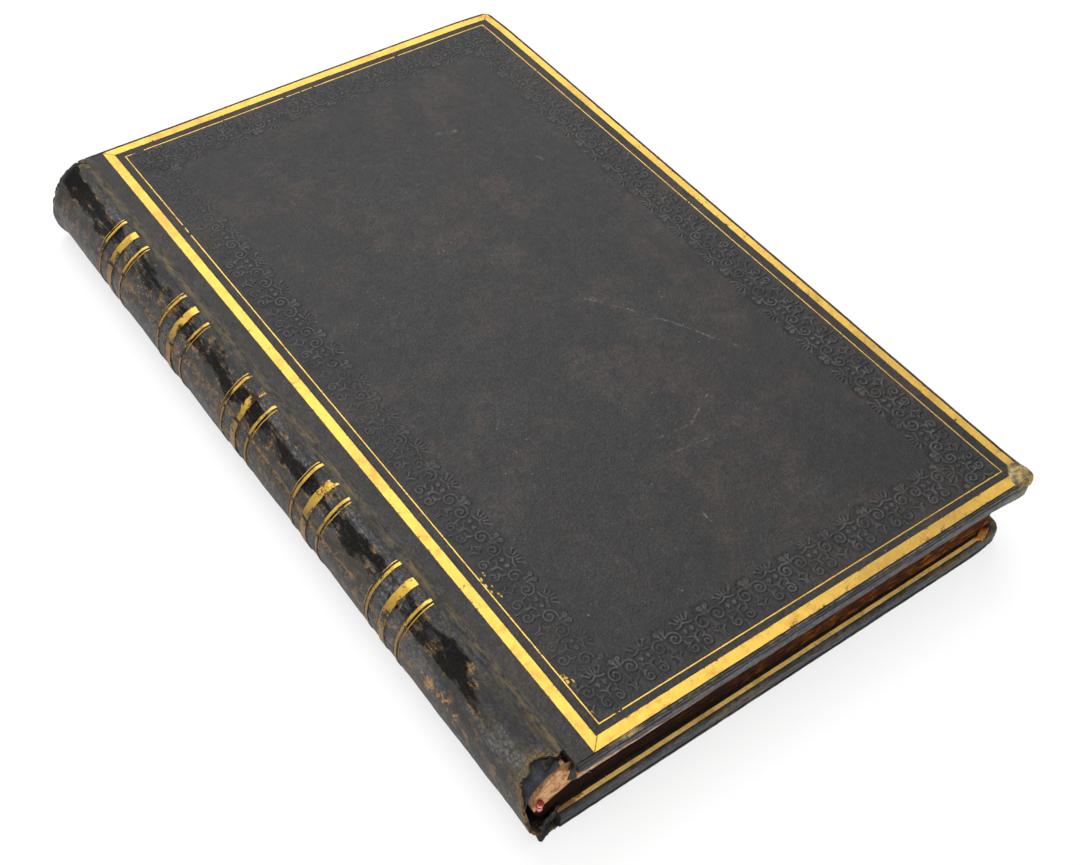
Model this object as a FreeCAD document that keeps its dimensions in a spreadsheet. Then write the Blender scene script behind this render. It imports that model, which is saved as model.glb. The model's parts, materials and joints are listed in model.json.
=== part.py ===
import FreeCAD, Part

import math
import os

import Sketcher
from FreeCAD import Vector

# An antique folio in full leather, lying on its back cover.
# +X runs from the spine to the fore-edge, +Y from the tail to the head, +Z up.
# The origin is the centre of the back cover's outer face. All lengths are millimetres.

SIZES = {
    # Covers
    "cover_height": 323.0,
    "cover_width": 191.7,
    "board_thickness": 5.8,
    "leather": 0.7,
    "book_thickness": 31.5,
    "lean": 4.5,
    "corner_round": 4.0,
    "edge_round": 0.9,
    "turn_in": 15.0,
    # Gilding on the covers
    "joint_margin": 7.0,
    "edge_margin": 1.5,
    "fillet_width": 4.0,
    "line_inset": 6.4,
    "line_width": 0.6,
    "gilt_depth": 0.15,
    "inner_inset": 1.6,
    "inner_width": 1.4,
    # Blind roll pressed into the front cover
    "roll_inset": 17.0,
    "roll_pitch": 17.9,
    "scroll_radius": 2.8,
    "scroll_stroke": 0.9,
    "crown_length": 4.2,
    "crown_width": 1.6,
    "roll_depth": 0.25,
    # Pages
    "square": 4.0,
    "page_gap": 0.3,
    "fore_edge_hollow": 5.0,
    "shoulder_back": 0.8,
    "shoulder_depth": 3.2,
    "back_round": 8.8,
    # Spine
    "joint_gap": 0.15,
    "joint_step": 0.35,
    "spine_leather": 1.0,
    "liner": 0.5,
    "glue_gap": 0.1,
    "front_pull": 19.5,
    "back_pull": 18.5,
    "tear_length": 9.7,
    "tear_width": 19.0,
    "endband": 2.4,
    "endband_remnant": 2.8,
    "sewing_cord": 1.2,
    # Gilding on the spine
    "band_first": 51.0,
    "band_pitch": 47.75,
    "band_width": 3.6,
    "band_line_offset": 8.5,
    "band_line_width": 1.2,
    "spine_gilt_depth": 0.12,
}
BAND_COUNT = 5

# How far the pieces on the pages' round back stop short of its two ends: 0 not at all, 1 at its crest
ENDBAND_TRIM = 0.2
REMNANT_TRIM = 0.75
CORD_TRIM = 0.65

doc = FreeCAD.newDocument("antique_book")
sheet = doc.addObject("Spreadsheet::Sheet", "Sizes")
for row, (alias, value) in enumerate(SIZES.items(), start=1):
    sheet.set(f"A{row}", alias)
    sheet.set(f"B{row}", str(value))
    sheet.setAlias(f"B{row}", alias)
doc.recompute()


def size(alias):
    """A driving size, read from the sheet."""
    return float(getattr(sheet, alias))


# Lengths that several pieces share, written once as expressions on the sheet
COVER = "(Sizes.board_thickness + 2 * Sizes.leather)"
HALF_HEIGHT = "(Sizes.cover_height / 2)"
BACK_JOINT = "(-Sizes.cover_width / 2)"
FRONT_JOINT = f"({BACK_JOINT} + Sizes.lean)"


def back_joint_x():
    return -size("cover_width") / 2


def front_joint_x():
    return back_joint_x() + size("lean")


# Sketches and features

def origin_plane(body, role):
    return next(plane for plane in body.Origin.OriginFeatures if plane.Role == role)


def new_body(label):
    body = doc.addObject("PartDesign::Body", label)
    body.Label = label
    return body


def new_sketch(body, name, role="XY_Plane", offset=None):
    sketch = body.newObject("Sketcher::SketchObject", name)
    sketch.AttachmentSupport = [(origin_plane(body, role), "")]
    sketch.MapMode = "FlatFace"
    if offset:
        sketch.setExpression("AttachmentOffset.Base.z", offset)
    return sketch


def evaluate(expression):
    """The value of an expression on the sheet, to start a sketch near its solution."""
    value = sheet.evalExpression(expression)
    return float(getattr(value, "Value", value))


def pin(sketch, geometry, vertex, x_size, y_size):
    """Holds one vertex of a sketch at two expressions."""
    for direction, expression in (("DistanceX", x_size), ("DistanceY", y_size)):
        value = evaluate(expression)
        index = sketch.addConstraint(Sketcher.Constraint(direction, -1, 1, geometry, vertex, value))
        sketch.setExpression(f"Constraints[{index}]", expression)


def quarter_arc(start, end, radius):
    """A quarter of a circle that runs against the clock."""
    along = (end - start).normalize()
    outward = Vector(along.y, -along.x, 0)
    bend = (start + end) * 0.5 + outward * radius * (1 - math.sqrt(0.5))
    return Part.Arc(start, bend, end)


def outline(sketch, corners, rounds=None):
    """A closed outline whose corners are pairs of expressions. It runs against the clock.

    A stretch that rounds names, by its number, is a quarter of a circle of that radius.
    """
    rounds = rounds or {}
    points = [Vector(evaluate(x), evaluate(y), 0) for x, y in corners]
    count = len(points)
    first = sketch.GeometryCount
    for k, point in enumerate(points):
        following = points[(k + 1) % count]
        if k in rounds:
            sketch.addGeometry(quarter_arc(point, following, evaluate(rounds[k])), False)
        else:
            sketch.addGeometry(Part.LineSegment(point, following), False)
    for k in range(count):
        following = first + (k + 1) % count
        sketch.addConstraint(Sketcher.Constraint("Coincident", first + k, 2, following, 1))
    for k, (x, y) in enumerate(corners):
        pin(sketch, first + k, 1, x, y)
    for k, radius in rounds.items():
        index = sketch.addConstraint(
            Sketcher.Constraint("Radius", first + k, evaluate(radius)))
        sketch.setExpression(f"Constraints[{index}]", radius)


def cover_rectangle(joint_inset, edge_inset):
    """The corners of a rectangle on a cover, set in from the joint and from the three edges."""
    left = f"({joint_inset})"
    right = f"(Sizes.cover_width - ({edge_inset}))"
    top = f"({HALF_HEIGHT} - ({edge_inset}))"
    return [(left, f"-{top}"), (right, f"-{top}"), (right, top), (left, top)]


def cover_plate(joint_inset, edge_inset, radius):
    """Such a rectangle with its two fore-edge corners rounded, as an outline and its rounds."""
    left = f"({joint_inset})"
    right = f"(Sizes.cover_width - ({edge_inset}))"
    top = f"({HALF_HEIGHT} - ({edge_inset}))"
    corners = [
        (left, f"-{top}"),
        (f"{right} - {radius}", f"-{top}"),
        (right, f"-{top} + {radius}"),
        (right, f"{top} - {radius}"),
        (f"{right} - {radius}", top),
        (left, top),
    ]
    return corners, {1: radius, 3: radius}


def pad(body, name, offset, length, outlines):
    sketch = new_sketch(body, f"{name}_sketch", offset=offset)
    for shape in outlines:
        outline(sketch, *shape)
    feature = body.newObject("PartDesign::Pad", name)
    feature.Profile = sketch
    feature.setExpression("Length", length)
    doc.recompute()
    return feature


def pocket(body, name, offset, length, outlines):
    """Cuts downwards from a level, and makes sure that something was cut."""
    before = body.Shape.Volume
    sketch = new_sketch(body, f"{name}_sketch", offset=offset)
    for shape in outlines:
        outline(sketch, *shape)
    feature = body.newObject("PartDesign::Pocket", name)
    feature.Profile = sketch
    feature.setExpression("Length", length)
    doc.recompute()
    if body.Shape.Volume >= before:
        raise RuntimeError(f"{name} cuts nothing")
    return feature


def round_edges(body, base, name, radius, wanted):
    """Rounds the edges of a feature that a test picks out."""
    names = [f"Edge{k}" for k, edge in enumerate(base.Shape.Edges, start=1) if wanted(edge)]
    feature = body.newObject("PartDesign::Fillet", name)
    feature.Base = (base, names)
    feature.setExpression("Radius", radius)
    doc.recompute()
    return feature


def is_outer_rim(edge):
    """An edge of the outer face, apart from the one along the joint."""
    on_face = all(abs(vertex.Point.z) < 0.001 for vertex in edge.Vertexes)
    return on_face and edge.CenterOfMass.x > 2 * size("joint_gap")


def board_plate():
    """The board's outline inside its leather."""
    return cover_plate("Sizes.joint_gap + Sizes.leather", "Sizes.leather",
                       "(Sizes.corner_round - Sizes.leather)")


# Rings of gilding, each given by the insets of its outer and inner rectangles

def ring(joint_inset, edge_inset, width):
    outer = cover_rectangle(joint_inset, edge_inset)
    inner = cover_rectangle(f"{joint_inset} + {width}", f"{edge_inset} + {width}")
    return [(outer,), (inner,)]


def gilt_frame_ring():
    return ring("Sizes.joint_margin", "Sizes.edge_margin", "Sizes.fillet_width")


def gilt_line_ring():
    return ring("Sizes.joint_margin + Sizes.line_inset", "Sizes.edge_margin + Sizes.line_inset",
                "Sizes.line_width")


def inner_gilt_ring():
    return ring("Sizes.inner_inset", "Sizes.inner_inset", "Sizes.inner_width")


# Covers. Each is drawn with its joint at x = 0 and its outer face at z = 0, looking up.

def place_cover_piece(piece, side):
    """The back cover is the same drawing turned over about the X axis."""
    if side == "front":
        piece.setExpression("Placement.Base.x", FRONT_JOINT)
        piece.setExpression("Placement.Base.z", "Sizes.book_thickness")
    else:
        piece.Placement.Rotation = FreeCAD.Rotation(Vector(1, 0, 0), 180)
        piece.setExpression("Placement.Base.x", BACK_JOINT)


def make_cover_leather(side, label):
    """Leather over the outer face, drawn round the three edges and turned in on the inner face."""
    body = new_body(label)
    slab = pad(body, f"{side}_skin", f"-{COVER}", COVER,
               [cover_plate("Sizes.joint_gap", "0", "Sizes.corner_round")])
    round_edges(body, slab, f"{side}_rim", "Sizes.edge_round", is_outer_rim)
    pocket(body, f"{side}_turn_in_window", "-(Sizes.leather + Sizes.board_thickness)",
           "Sizes.leather", [(cover_rectangle("Sizes.turn_in", "Sizes.turn_in"),)])
    pocket(body, f"{side}_board_seat", "-Sizes.leather", "Sizes.board_thickness", [board_plate()])
    pocket(body, f"{side}_frame_groove", "0", "Sizes.gilt_depth", gilt_frame_ring())
    pocket(body, f"{side}_line_groove", "0", "Sizes.gilt_depth", gilt_line_ring())
    pocket(body, f"{side}_inner_groove", f"-{COVER} + Sizes.gilt_depth", "Sizes.gilt_depth",
           inner_gilt_ring())
    place_cover_piece(body, side)
    return body


def make_board(side):
    body = new_body(f"{side}_board")
    pad(body, f"{side}_board_pad", "-(Sizes.leather + Sizes.board_thickness)",
        "Sizes.board_thickness", [board_plate()])
    place_cover_piece(body, side)
    return body


def make_pastedown(side):
    body = new_body(f"{side}_pastedown")
    pad(body, f"{side}_pastedown_pad", f"-{COVER}", "Sizes.leather",
        [(cover_rectangle("Sizes.turn_in", "Sizes.turn_in"),)])
    place_cover_piece(body, side)
    return body


def make_gilding(side, name, bottom, rings):
    body = new_body(f"{side}_{name}")
    pad(body, f"{side}_{name}_pad", bottom, "Sizes.gilt_depth", rings)
    place_cover_piece(body, side)
    return body


def make_cover(side):
    """The pieces of one cover, apart from its leather."""
    return [
        make_board(side),
        make_pastedown(side),
        make_gilding(side, "gilt_frame", "-Sizes.gilt_depth", gilt_frame_ring()),
        make_gilding(side, "gilt_line", "-Sizes.gilt_depth", gilt_line_ring()),
        make_gilding(side, "inner_gilt", f"-{COVER}", inner_gilt_ring()),
    ]


# Blind roll: pairs of facing scrolls and a small crown, pressed into the leather again and again

def scroll(centre, radius, start, end, stroke):
    """A flat C-scroll: a stretch of a ring between two angles, in degrees."""
    inner = radius - stroke / 2
    outer = radius + stroke / 2

    def at(distance, angle):
        turn = math.radians(angle)
        return centre + Vector(distance * math.cos(turn), distance * math.sin(turn), 0)

    middle = (start + end) / 2
    edges = [
        Part.Arc(at(outer, start), at(outer, middle), at(outer, end)).toShape(),
        Part.makeLine(at(outer, end), at(inner, end)),
        Part.Arc(at(inner, end), at(inner, middle), at(inner, start)).toShape(),
        Part.makeLine(at(inner, start), at(outer, start)),
    ]
    return Part.Face(Part.Wire(edges))


def crown(foot, length, width):
    """A pointed petal that stands on its foot."""
    half = Vector(width / 2, length / 2, 0)
    tip = foot + Vector(0, length, 0)
    right = foot + half
    left = foot + Vector(-half.x, half.y, 0)
    return Part.Face(Part.makePolygon([foot, right, tip, left, foot]))


def roll_motif():
    """One repeat of the roll, along +X, with its foot towards the cover's edge."""
    radius = size("scroll_radius")
    stroke = size("scroll_stroke")
    spread = size("roll_pitch") / 4
    left = scroll(Vector(-spread, 0, 0), radius, -150, 90, stroke)
    right = scroll(Vector(spread, 0, 0), radius, 90, 330, stroke)
    petal = crown(Vector(0, radius / 2, 0), size("crown_length"), size("crown_width"))
    return [left, right, petal]


def roll_strokes():
    """The motifs along the four sides of a rectangle, facing its middle."""
    inset = size("roll_inset")
    left = size("joint_margin") - size("edge_margin") + inset
    right = size("cover_width") - inset
    half = size("cover_height") / 2 - inset
    corners = [Vector(left, -half, 0), Vector(right, -half, 0), Vector(right, half, 0),
               Vector(left, half, 0)]
    motif = roll_motif()
    depth = size("roll_depth")
    solids = []
    for k, start in enumerate(corners):
        side = corners[(k + 1) % 4] - start
        count = max(1, round(side.Length / size("roll_pitch")) - 1)
        turn = FreeCAD.Rotation(Vector(0, 0, 1), 90 * k)
        for n in range(1, count + 1):
            place = start + side * (n / (count + 1)) - Vector(0, 0, depth)
            for face in motif:
                stroke = face.copy()
                stroke.Placement = FreeCAD.Placement(place, turn)
                solids.append(stroke.extrude(Vector(0, 0, 2 * depth)))
    return Part.makeCompound(solids)


def make_front_cover_leather():
    plain = make_cover_leather("front", "front_cover_blank")
    strokes = doc.addObject("Part::Feature", "roll_strokes")
    strokes.Shape = roll_strokes()
    place_cover_piece(strokes, "front")
    tooled = doc.addObject("Part::Cut", "front_cover_leather")
    tooled.Label = "front_cover_leather"
    tooled.Base = plain
    tooled.Tool = strokes
    doc.recompute()
    if tooled.Shape.Volume >= plain.Shape.Volume:
        raise RuntimeError("the roll cuts nothing")
    return tooled


# Pages: one block, round at the back with a shoulder at each joint, hollow at the fore-edge

def make_text_block():
    body = new_body("text_block")
    sketch = new_sketch(body, "block_sketch", role="XZ_Plane")
    low = f"({COVER} + Sizes.page_gap)"
    high = f"(Sizes.book_thickness - {low})"
    fore_low = f"({BACK_JOINT} + Sizes.cover_width - Sizes.square)"
    corners = [
        (f"{FRONT_JOINT} - Sizes.shoulder_back", "Sizes.book_thickness - Sizes.shoulder_depth"),
        (f"{FRONT_JOINT} - Sizes.shoulder_back", high),
        (f"{fore_low} + Sizes.lean", high),
        (fore_low, low),
        (f"{BACK_JOINT} - Sizes.shoulder_back", low),
        (f"{BACK_JOINT} - Sizes.shoulder_back", "Sizes.shoulder_depth"),
    ]
    middle = "Sizes.book_thickness / 2"
    hollow = (f"{fore_low} + Sizes.lean / 2 - Sizes.fore_edge_hollow", middle)
    crest = (f"{BACK_JOINT} + Sizes.lean / 2 - Sizes.shoulder_back - Sizes.back_round", middle)
    points = [Vector(evaluate(x), evaluate(y), 0) for x, y in corners]
    bends = {2: hollow, 5: crest}
    count = len(points)
    for k, point in enumerate(points):
        following = points[(k + 1) % count]
        if k in bends:
            bend = Vector(*(evaluate(part) for part in bends[k]), 0)
            sketch.addGeometry(arc_against_clock(point, bend, following), False)
        else:
            sketch.addGeometry(Part.LineSegment(point, following), False)
    ends = [ordered_ends(sketch.Geometry[k], points[k]) for k in range(count)]
    for k in range(count):
        following = (k + 1) % count
        sketch.addConstraint(
            Sketcher.Constraint("Coincident", k, ends[k][1], following, ends[following][0]))
    for k, (x, y) in enumerate(corners):
        pin(sketch, k, ends[k][0], x, y)
    for k, (x, y) in bends.items():
        marker = sketch.addGeometry(Part.Point(Vector(evaluate(x), evaluate(y), 0)), True)
        pin(sketch, marker, 1, x, y)
        sketch.addConstraint(Sketcher.Constraint("PointOnObject", marker, 1, k))
    block = body.newObject("PartDesign::Pad", "block_pad")
    block.Profile = sketch
    block.Midplane = True
    block.setExpression("Length", "Sizes.cover_height - 2 * Sizes.square")
    doc.recompute()
    return body


def arc_against_clock(start, bend, end):
    """An arc through three points, turned so that it runs against the clock."""
    if (bend - start).cross(end - bend).z > 0:
        return Part.Arc(start, bend, end)
    return Part.Arc(end, bend, start)


def ordered_ends(curve, start):
    """The numbers of a curve's first and last vertex, as the outline runs."""
    if curve.StartPoint.distanceToPoint(start) < 0.001:
        return 1, 2
    return 2, 1


# Spine: nested curves from the front joint, round the back, to the back joint

def spine_curve(inset):
    """The spine's outline set in by a distance, as one smooth curve from front to back."""
    front = front_joint_x()
    back = back_joint_x()
    high = size("book_thickness") - size("joint_step") - inset
    low = size("joint_step") + inset
    gap = size("joint_gap")
    poles = [
        Vector(front - gap, 0, high),
        Vector(front - size("front_pull") + inset, 0, high),
        Vector(back - size("back_pull") + inset, 0, low),
        Vector(back - gap, 0, low),
    ]
    curve = Part.BezierCurve()
    curve.setPoles(poles)
    return curve.toShape()


def spine_band(outer_inset, inner_inset, centre, width):
    """A strip between two of the nested curves, as wide as given along Y."""
    outer = spine_curve(outer_inset)
    inner = spine_curve(inner_inset)
    edges = [
        outer,
        Part.makeLine(outer.Vertexes[1].Point, inner.Vertexes[1].Point),
        inner,
        Part.makeLine(inner.Vertexes[0].Point, outer.Vertexes[0].Point),
    ]
    face = Part.Face(Part.Wire(Part.__sortEdges__(edges)))
    strip = face.extrude(Vector(0, width, 0))
    strip.translate(Vector(0, centre - width / 2, 0))
    return strip


def tear():
    """The piece that is lost at the tail, beside the front joint, as an upright prism."""
    tail = -size("cover_height") / 2
    front = front_joint_x()
    width = size("tear_width")
    length = size("tear_length")
    past = size("square")
    corners = [
        Vector(front + past, tail - past, 0),
        Vector(front + past, tail + length * 0.77, 0),
        Vector(front - width * 0.11, tail + length * 0.73, 0),
        Vector(front - width * 0.30, tail + length * 0.91, 0),
        Vector(front - width * 0.50, tail + length, 0),
        Vector(front - width * 0.75, tail + length * 0.88, 0),
        Vector(front - width * 0.95, tail + length * 0.50, 0),
        Vector(front - width * 1.02, tail - past, 0),
    ]
    face = Part.Face(Part.makePolygon(corners + corners[:1]))
    prism = face.extrude(Vector(0, 0, size("book_thickness")))
    prism.translate(Vector(0, 0, size("book_thickness") / 2))
    return prism


def band_centres():
    head = size("cover_height") / 2
    return [head - size("band_first") - n * size("band_pitch") for n in range(BAND_COUNT)]


def spine_gilt(offsets, width):
    """Strips of gilding round the spine, at the same offsets from each band's centre."""
    depth = size("spine_gilt_depth")
    centres = [centre + offset for centre in band_centres() for offset in offsets]
    return [spine_band(0, depth, centre, width) for centre in centres]


def add_feature(label, shape):
    feature = doc.addObject("Part::Feature", label)
    feature.Label = label
    feature.Shape = shape
    return feature


def make_spine():
    """The leather and its gilding, and the paper tube that lines it."""
    thickness = size("spine_leather")
    height = size("cover_height")
    fillets = spine_gilt([0], size("band_width"))
    offset = size("band_line_offset")
    lines = spine_gilt([-offset, offset], size("band_line_width"))
    leather = spine_band(0, thickness, 0, height).cut([tear()] + fillets + lines)
    page_height = height - 2 * size("square")
    glued = thickness + size("glue_gap")
    liner = spine_band(glued, glued + size("liner"), 0, page_height)
    return [
        add_feature("spine_leather", max(leather.Solids, key=lambda solid: solid.Volume)),
        add_feature("spine_liner", liner),
        add_feature("spine_fillets", Part.makeCompound(fillets)),
        add_feature("spine_lines", Part.makeCompound(lines)),
    ]


# Pieces that follow the round back of the pages

def back_arc(out, trim):
    """The arc of the pages' back, moved out by a distance and cut short at both ends."""
    front = Vector(front_joint_x() - size("shoulder_back"), 0,
                   size("book_thickness") - size("shoulder_depth"))
    back = Vector(back_joint_x() - size("shoulder_back"), 0, size("shoulder_depth"))
    crest = Vector((front.x + back.x) / 2 - size("back_round"), 0, size("book_thickness") / 2)
    circle = Part.Arc(front, crest, back).toShape().Curve
    centre = circle.Center
    radius = circle.Radius + out

    def direction(point, amount):
        """Points from the arc's centre to a point, turned towards the crest."""
        middle = (crest - centre).normalize()
        start = (point - centre).normalize()
        mixed = start * (1 - amount) + middle * amount
        return mixed.normalize()

    ends = [centre + direction(point, trim) * radius for point in (front, back)]
    top = centre + direction(crest, 0) * radius
    return Part.Arc(ends[0], top, ends[1]).toShape()


def roll_along(path, diameter):
    """A round cord of a given diameter along one arc."""
    start = path.valueAt(path.FirstParameter)
    tangent = path.tangentAt(path.FirstParameter)
    profile = Part.Wire(Part.makeCircle(diameter / 2, start, tangent))
    return Part.Wire(path).makePipeShell([profile], True, False)


def make_endband(label, end, diameter, trim):
    """A stuffed band across one end of the pages, just inside their round back."""
    cord = roll_along(back_arc(-diameter, trim), diameter)
    page_end = size("cover_height") / 2 - size("square")
    cord.translate(Vector(0, end * (page_end + diameter / 2), 0))
    return add_feature(label, cord)


def make_sewing_cords():
    """The cords that the sections are sewn on, one under each gilt band."""
    diameter = size("sewing_cord")
    cords = []
    for centre in band_centres():
        cord = roll_along(back_arc(diameter / 2, CORD_TRIM), diameter)
        cord.translate(Vector(0, centre, 0))
        cords.append(cord)
    return add_feature("sewing_cords", Part.makeCompound(cords))


def export(pieces):
    os.makedirs("parts", exist_ok=True)
    for item in doc.Objects:
        if "Invalid" in item.State or "Error" in item.State:
            raise RuntimeError(f"{item.Label} failed: {item.State}")
    for piece in pieces:
        if piece.Shape.isNull() or not piece.Shape.isValid():
            raise RuntimeError(f"{piece.Label} has no valid shape")
        piece.Shape.exportStep(f"parts/{piece.Label}.step")


def main():
    pieces = [make_front_cover_leather(), make_cover_leather("back", "back_cover_leather")]
    for side in ("front", "back"):
        pieces += make_cover(side)
    pieces.append(make_text_block())
    pieces += make_spine()
    pieces.append(make_endband("head_endband", 1, size("endband"), ENDBAND_TRIM))
    pieces.append(make_endband("tail_endband", -1, size("endband_remnant"), REMNANT_TRIM))
    pieces.append(make_sewing_cords())
    doc.recompute()
    export(pieces)


main()
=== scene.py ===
import json
import math

import bmesh
import bpy
import numpy as np
from mathutils import Euler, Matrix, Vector, noise
from mathutils.geometry import delaunay_2d_cdt


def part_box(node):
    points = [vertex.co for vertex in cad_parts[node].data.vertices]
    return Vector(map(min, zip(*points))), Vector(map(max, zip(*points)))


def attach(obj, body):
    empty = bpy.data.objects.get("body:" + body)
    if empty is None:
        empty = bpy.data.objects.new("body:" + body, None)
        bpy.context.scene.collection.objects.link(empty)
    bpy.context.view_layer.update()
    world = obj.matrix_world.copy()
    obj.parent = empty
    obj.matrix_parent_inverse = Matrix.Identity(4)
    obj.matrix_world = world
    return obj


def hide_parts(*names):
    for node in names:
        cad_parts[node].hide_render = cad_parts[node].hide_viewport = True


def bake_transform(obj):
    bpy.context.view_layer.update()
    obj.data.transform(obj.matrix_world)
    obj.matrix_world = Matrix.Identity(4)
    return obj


# An antique folio in dark leather. Lengths are millimetres until a mesh is made, and every place is
# worked out from the frame's joints and boxes.

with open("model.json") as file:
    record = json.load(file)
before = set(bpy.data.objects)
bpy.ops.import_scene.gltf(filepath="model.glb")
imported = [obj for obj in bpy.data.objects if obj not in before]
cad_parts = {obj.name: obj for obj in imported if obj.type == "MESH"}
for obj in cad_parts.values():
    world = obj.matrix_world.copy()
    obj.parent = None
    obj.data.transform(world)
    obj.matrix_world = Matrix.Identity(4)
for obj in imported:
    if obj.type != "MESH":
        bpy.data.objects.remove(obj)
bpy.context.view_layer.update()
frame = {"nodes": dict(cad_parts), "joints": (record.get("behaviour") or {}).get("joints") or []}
scene = bpy.context.scene

MM = 0.001

joint_at = {joint["name"]: Vector(joint["pos_m"]) / MM for joint in frame["joints"]}
FRONT_X = joint_at["front_joint"].x
BACK_X = joint_at["back_joint"].x
BOOK_T = joint_at["front_joint"].z
leather_low, leather_high = (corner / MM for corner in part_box("front_cover_leather"))
HALF_H = leather_high.y
COVER_W = leather_high.x - FRONT_X
COVER_T = BOOK_T - leather_low.z
TEXT_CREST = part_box("text_block")[0].x / MM
TAIL = -HALF_H
HEAD = HALF_H

# Sizes of the covers' dressing
CORNER_R = 4.0
EDGE_MARGIN = HALF_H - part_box("front_gilt_frame")[1].y / MM
JOINT_MARGIN = 7.0
JOINT_START = 0.35
FILLET_W = 4.0
LINE_INSET = 6.4
LINE_W = 0.6
LINE_LEAF_W = 0.42
SINK = 0.10
LEAF_LEVEL = -SINK * 0.45
LEAF_RAGGED = 0.04
TURN_IN = 15.0
INNER_RECESS = 0.05
ROLL_INSET = 9.0
ROLL_W = 15.8
ROLL_PITCH = 17.9


# Meshes

def add_mesh(name, points, faces, materials, face_materials=None, smooth=True, attributes=None):
    """A mesh object from points in millimetres, with its materials and named point values."""
    mesh = bpy.data.meshes.new(name)
    mesh.from_pydata([Vector(point) * MM for point in points], [], faces)
    for material in materials:
        mesh.materials.append(material)
    if face_materials is not None:
        mesh.polygons.foreach_set("material_index", face_materials)
    mesh.polygons.foreach_set("use_smooth", [smooth] * len(mesh.polygons))
    for key, values in (attributes or {}).items():
        layer = mesh.attributes.new(key, "FLOAT", "POINT")
        layer.data.foreach_set("value", values)
    mesh.update()
    obj = bpy.data.objects.new(name, mesh)
    scene.collection.objects.link(obj)
    return obj


def clamp(value):
    return min(1.0, max(0.0, value))


def bell(value, centre, width):
    """1 at a centre, fading to 0 on both sides of it."""
    return math.exp(-((value - centre) / width) ** 2)


def weld(obj, distance=0.004):
    """Joins points that lie within a distance, in millimetres, and drops faces left with no area."""
    work = bmesh.new()
    work.from_mesh(obj.data)
    bmesh.ops.remove_doubles(work, verts=work.verts, dist=distance * MM)
    bmesh.ops.dissolve_degenerate(work, edges=work.edges, dist=distance * MM * 0.5)
    work.to_mesh(obj.data)
    work.free()


def grid_faces(rows, columns, offset=0, close=False, flip=False):
    """Quads of a grid of points stored row by row. A closed grid joins its last column to its first."""
    faces = []
    span = columns if close else columns - 1
    for r in range(rows - 1):
        for c in range(span):
            d = (c + 1) % columns
            quad = (r * columns + c, r * columns + d, (r + 1) * columns + d, (r + 1) * columns + c)
            quad = tuple(offset + k for k in quad)
            faces.append(quad[::-1] if flip else quad)
    return faces


def border_loops(rows, columns):
    """The four sides of a grid of points, each in the order that faces outwards."""
    return [
        list(range(columns)),
        [(rows - 1) * columns + k for k in range(columns)][::-1],
        [r * columns for r in range(rows)][::-1],
        [r * columns + columns - 1 for r in range(rows)],
    ]


def slab_faces(rows, columns, flip=False):
    """Faces of two layers of a grid, the second one facing away, and of the rim that joins them."""
    size = rows * columns
    faces = grid_faces(rows, columns, 0, flip=flip) + grid_faces(rows, columns, size, flip=not flip)
    for loop in border_loops(rows, columns):
        for a, b in zip(loop, loop[1:]):
            quad = (a, a + size, b + size, b)
            faces.append(quad[::-1] if flip else quad)
    return faces


def stations(start, end, step):
    """Evenly spaced values from start to end, both included."""
    count = max(2, int(round(abs(end - start) / step)) + 1)
    return np.linspace(start, end, count)


def ripple(x, y, z, length, seed=0.0):
    """Smooth noise between about -1 and 1 that repeats no shape, with features of a given length."""
    return noise.noise(Vector((x / length + seed, y / length - seed, z / length + 0.37 * seed)))


# Materials

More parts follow.
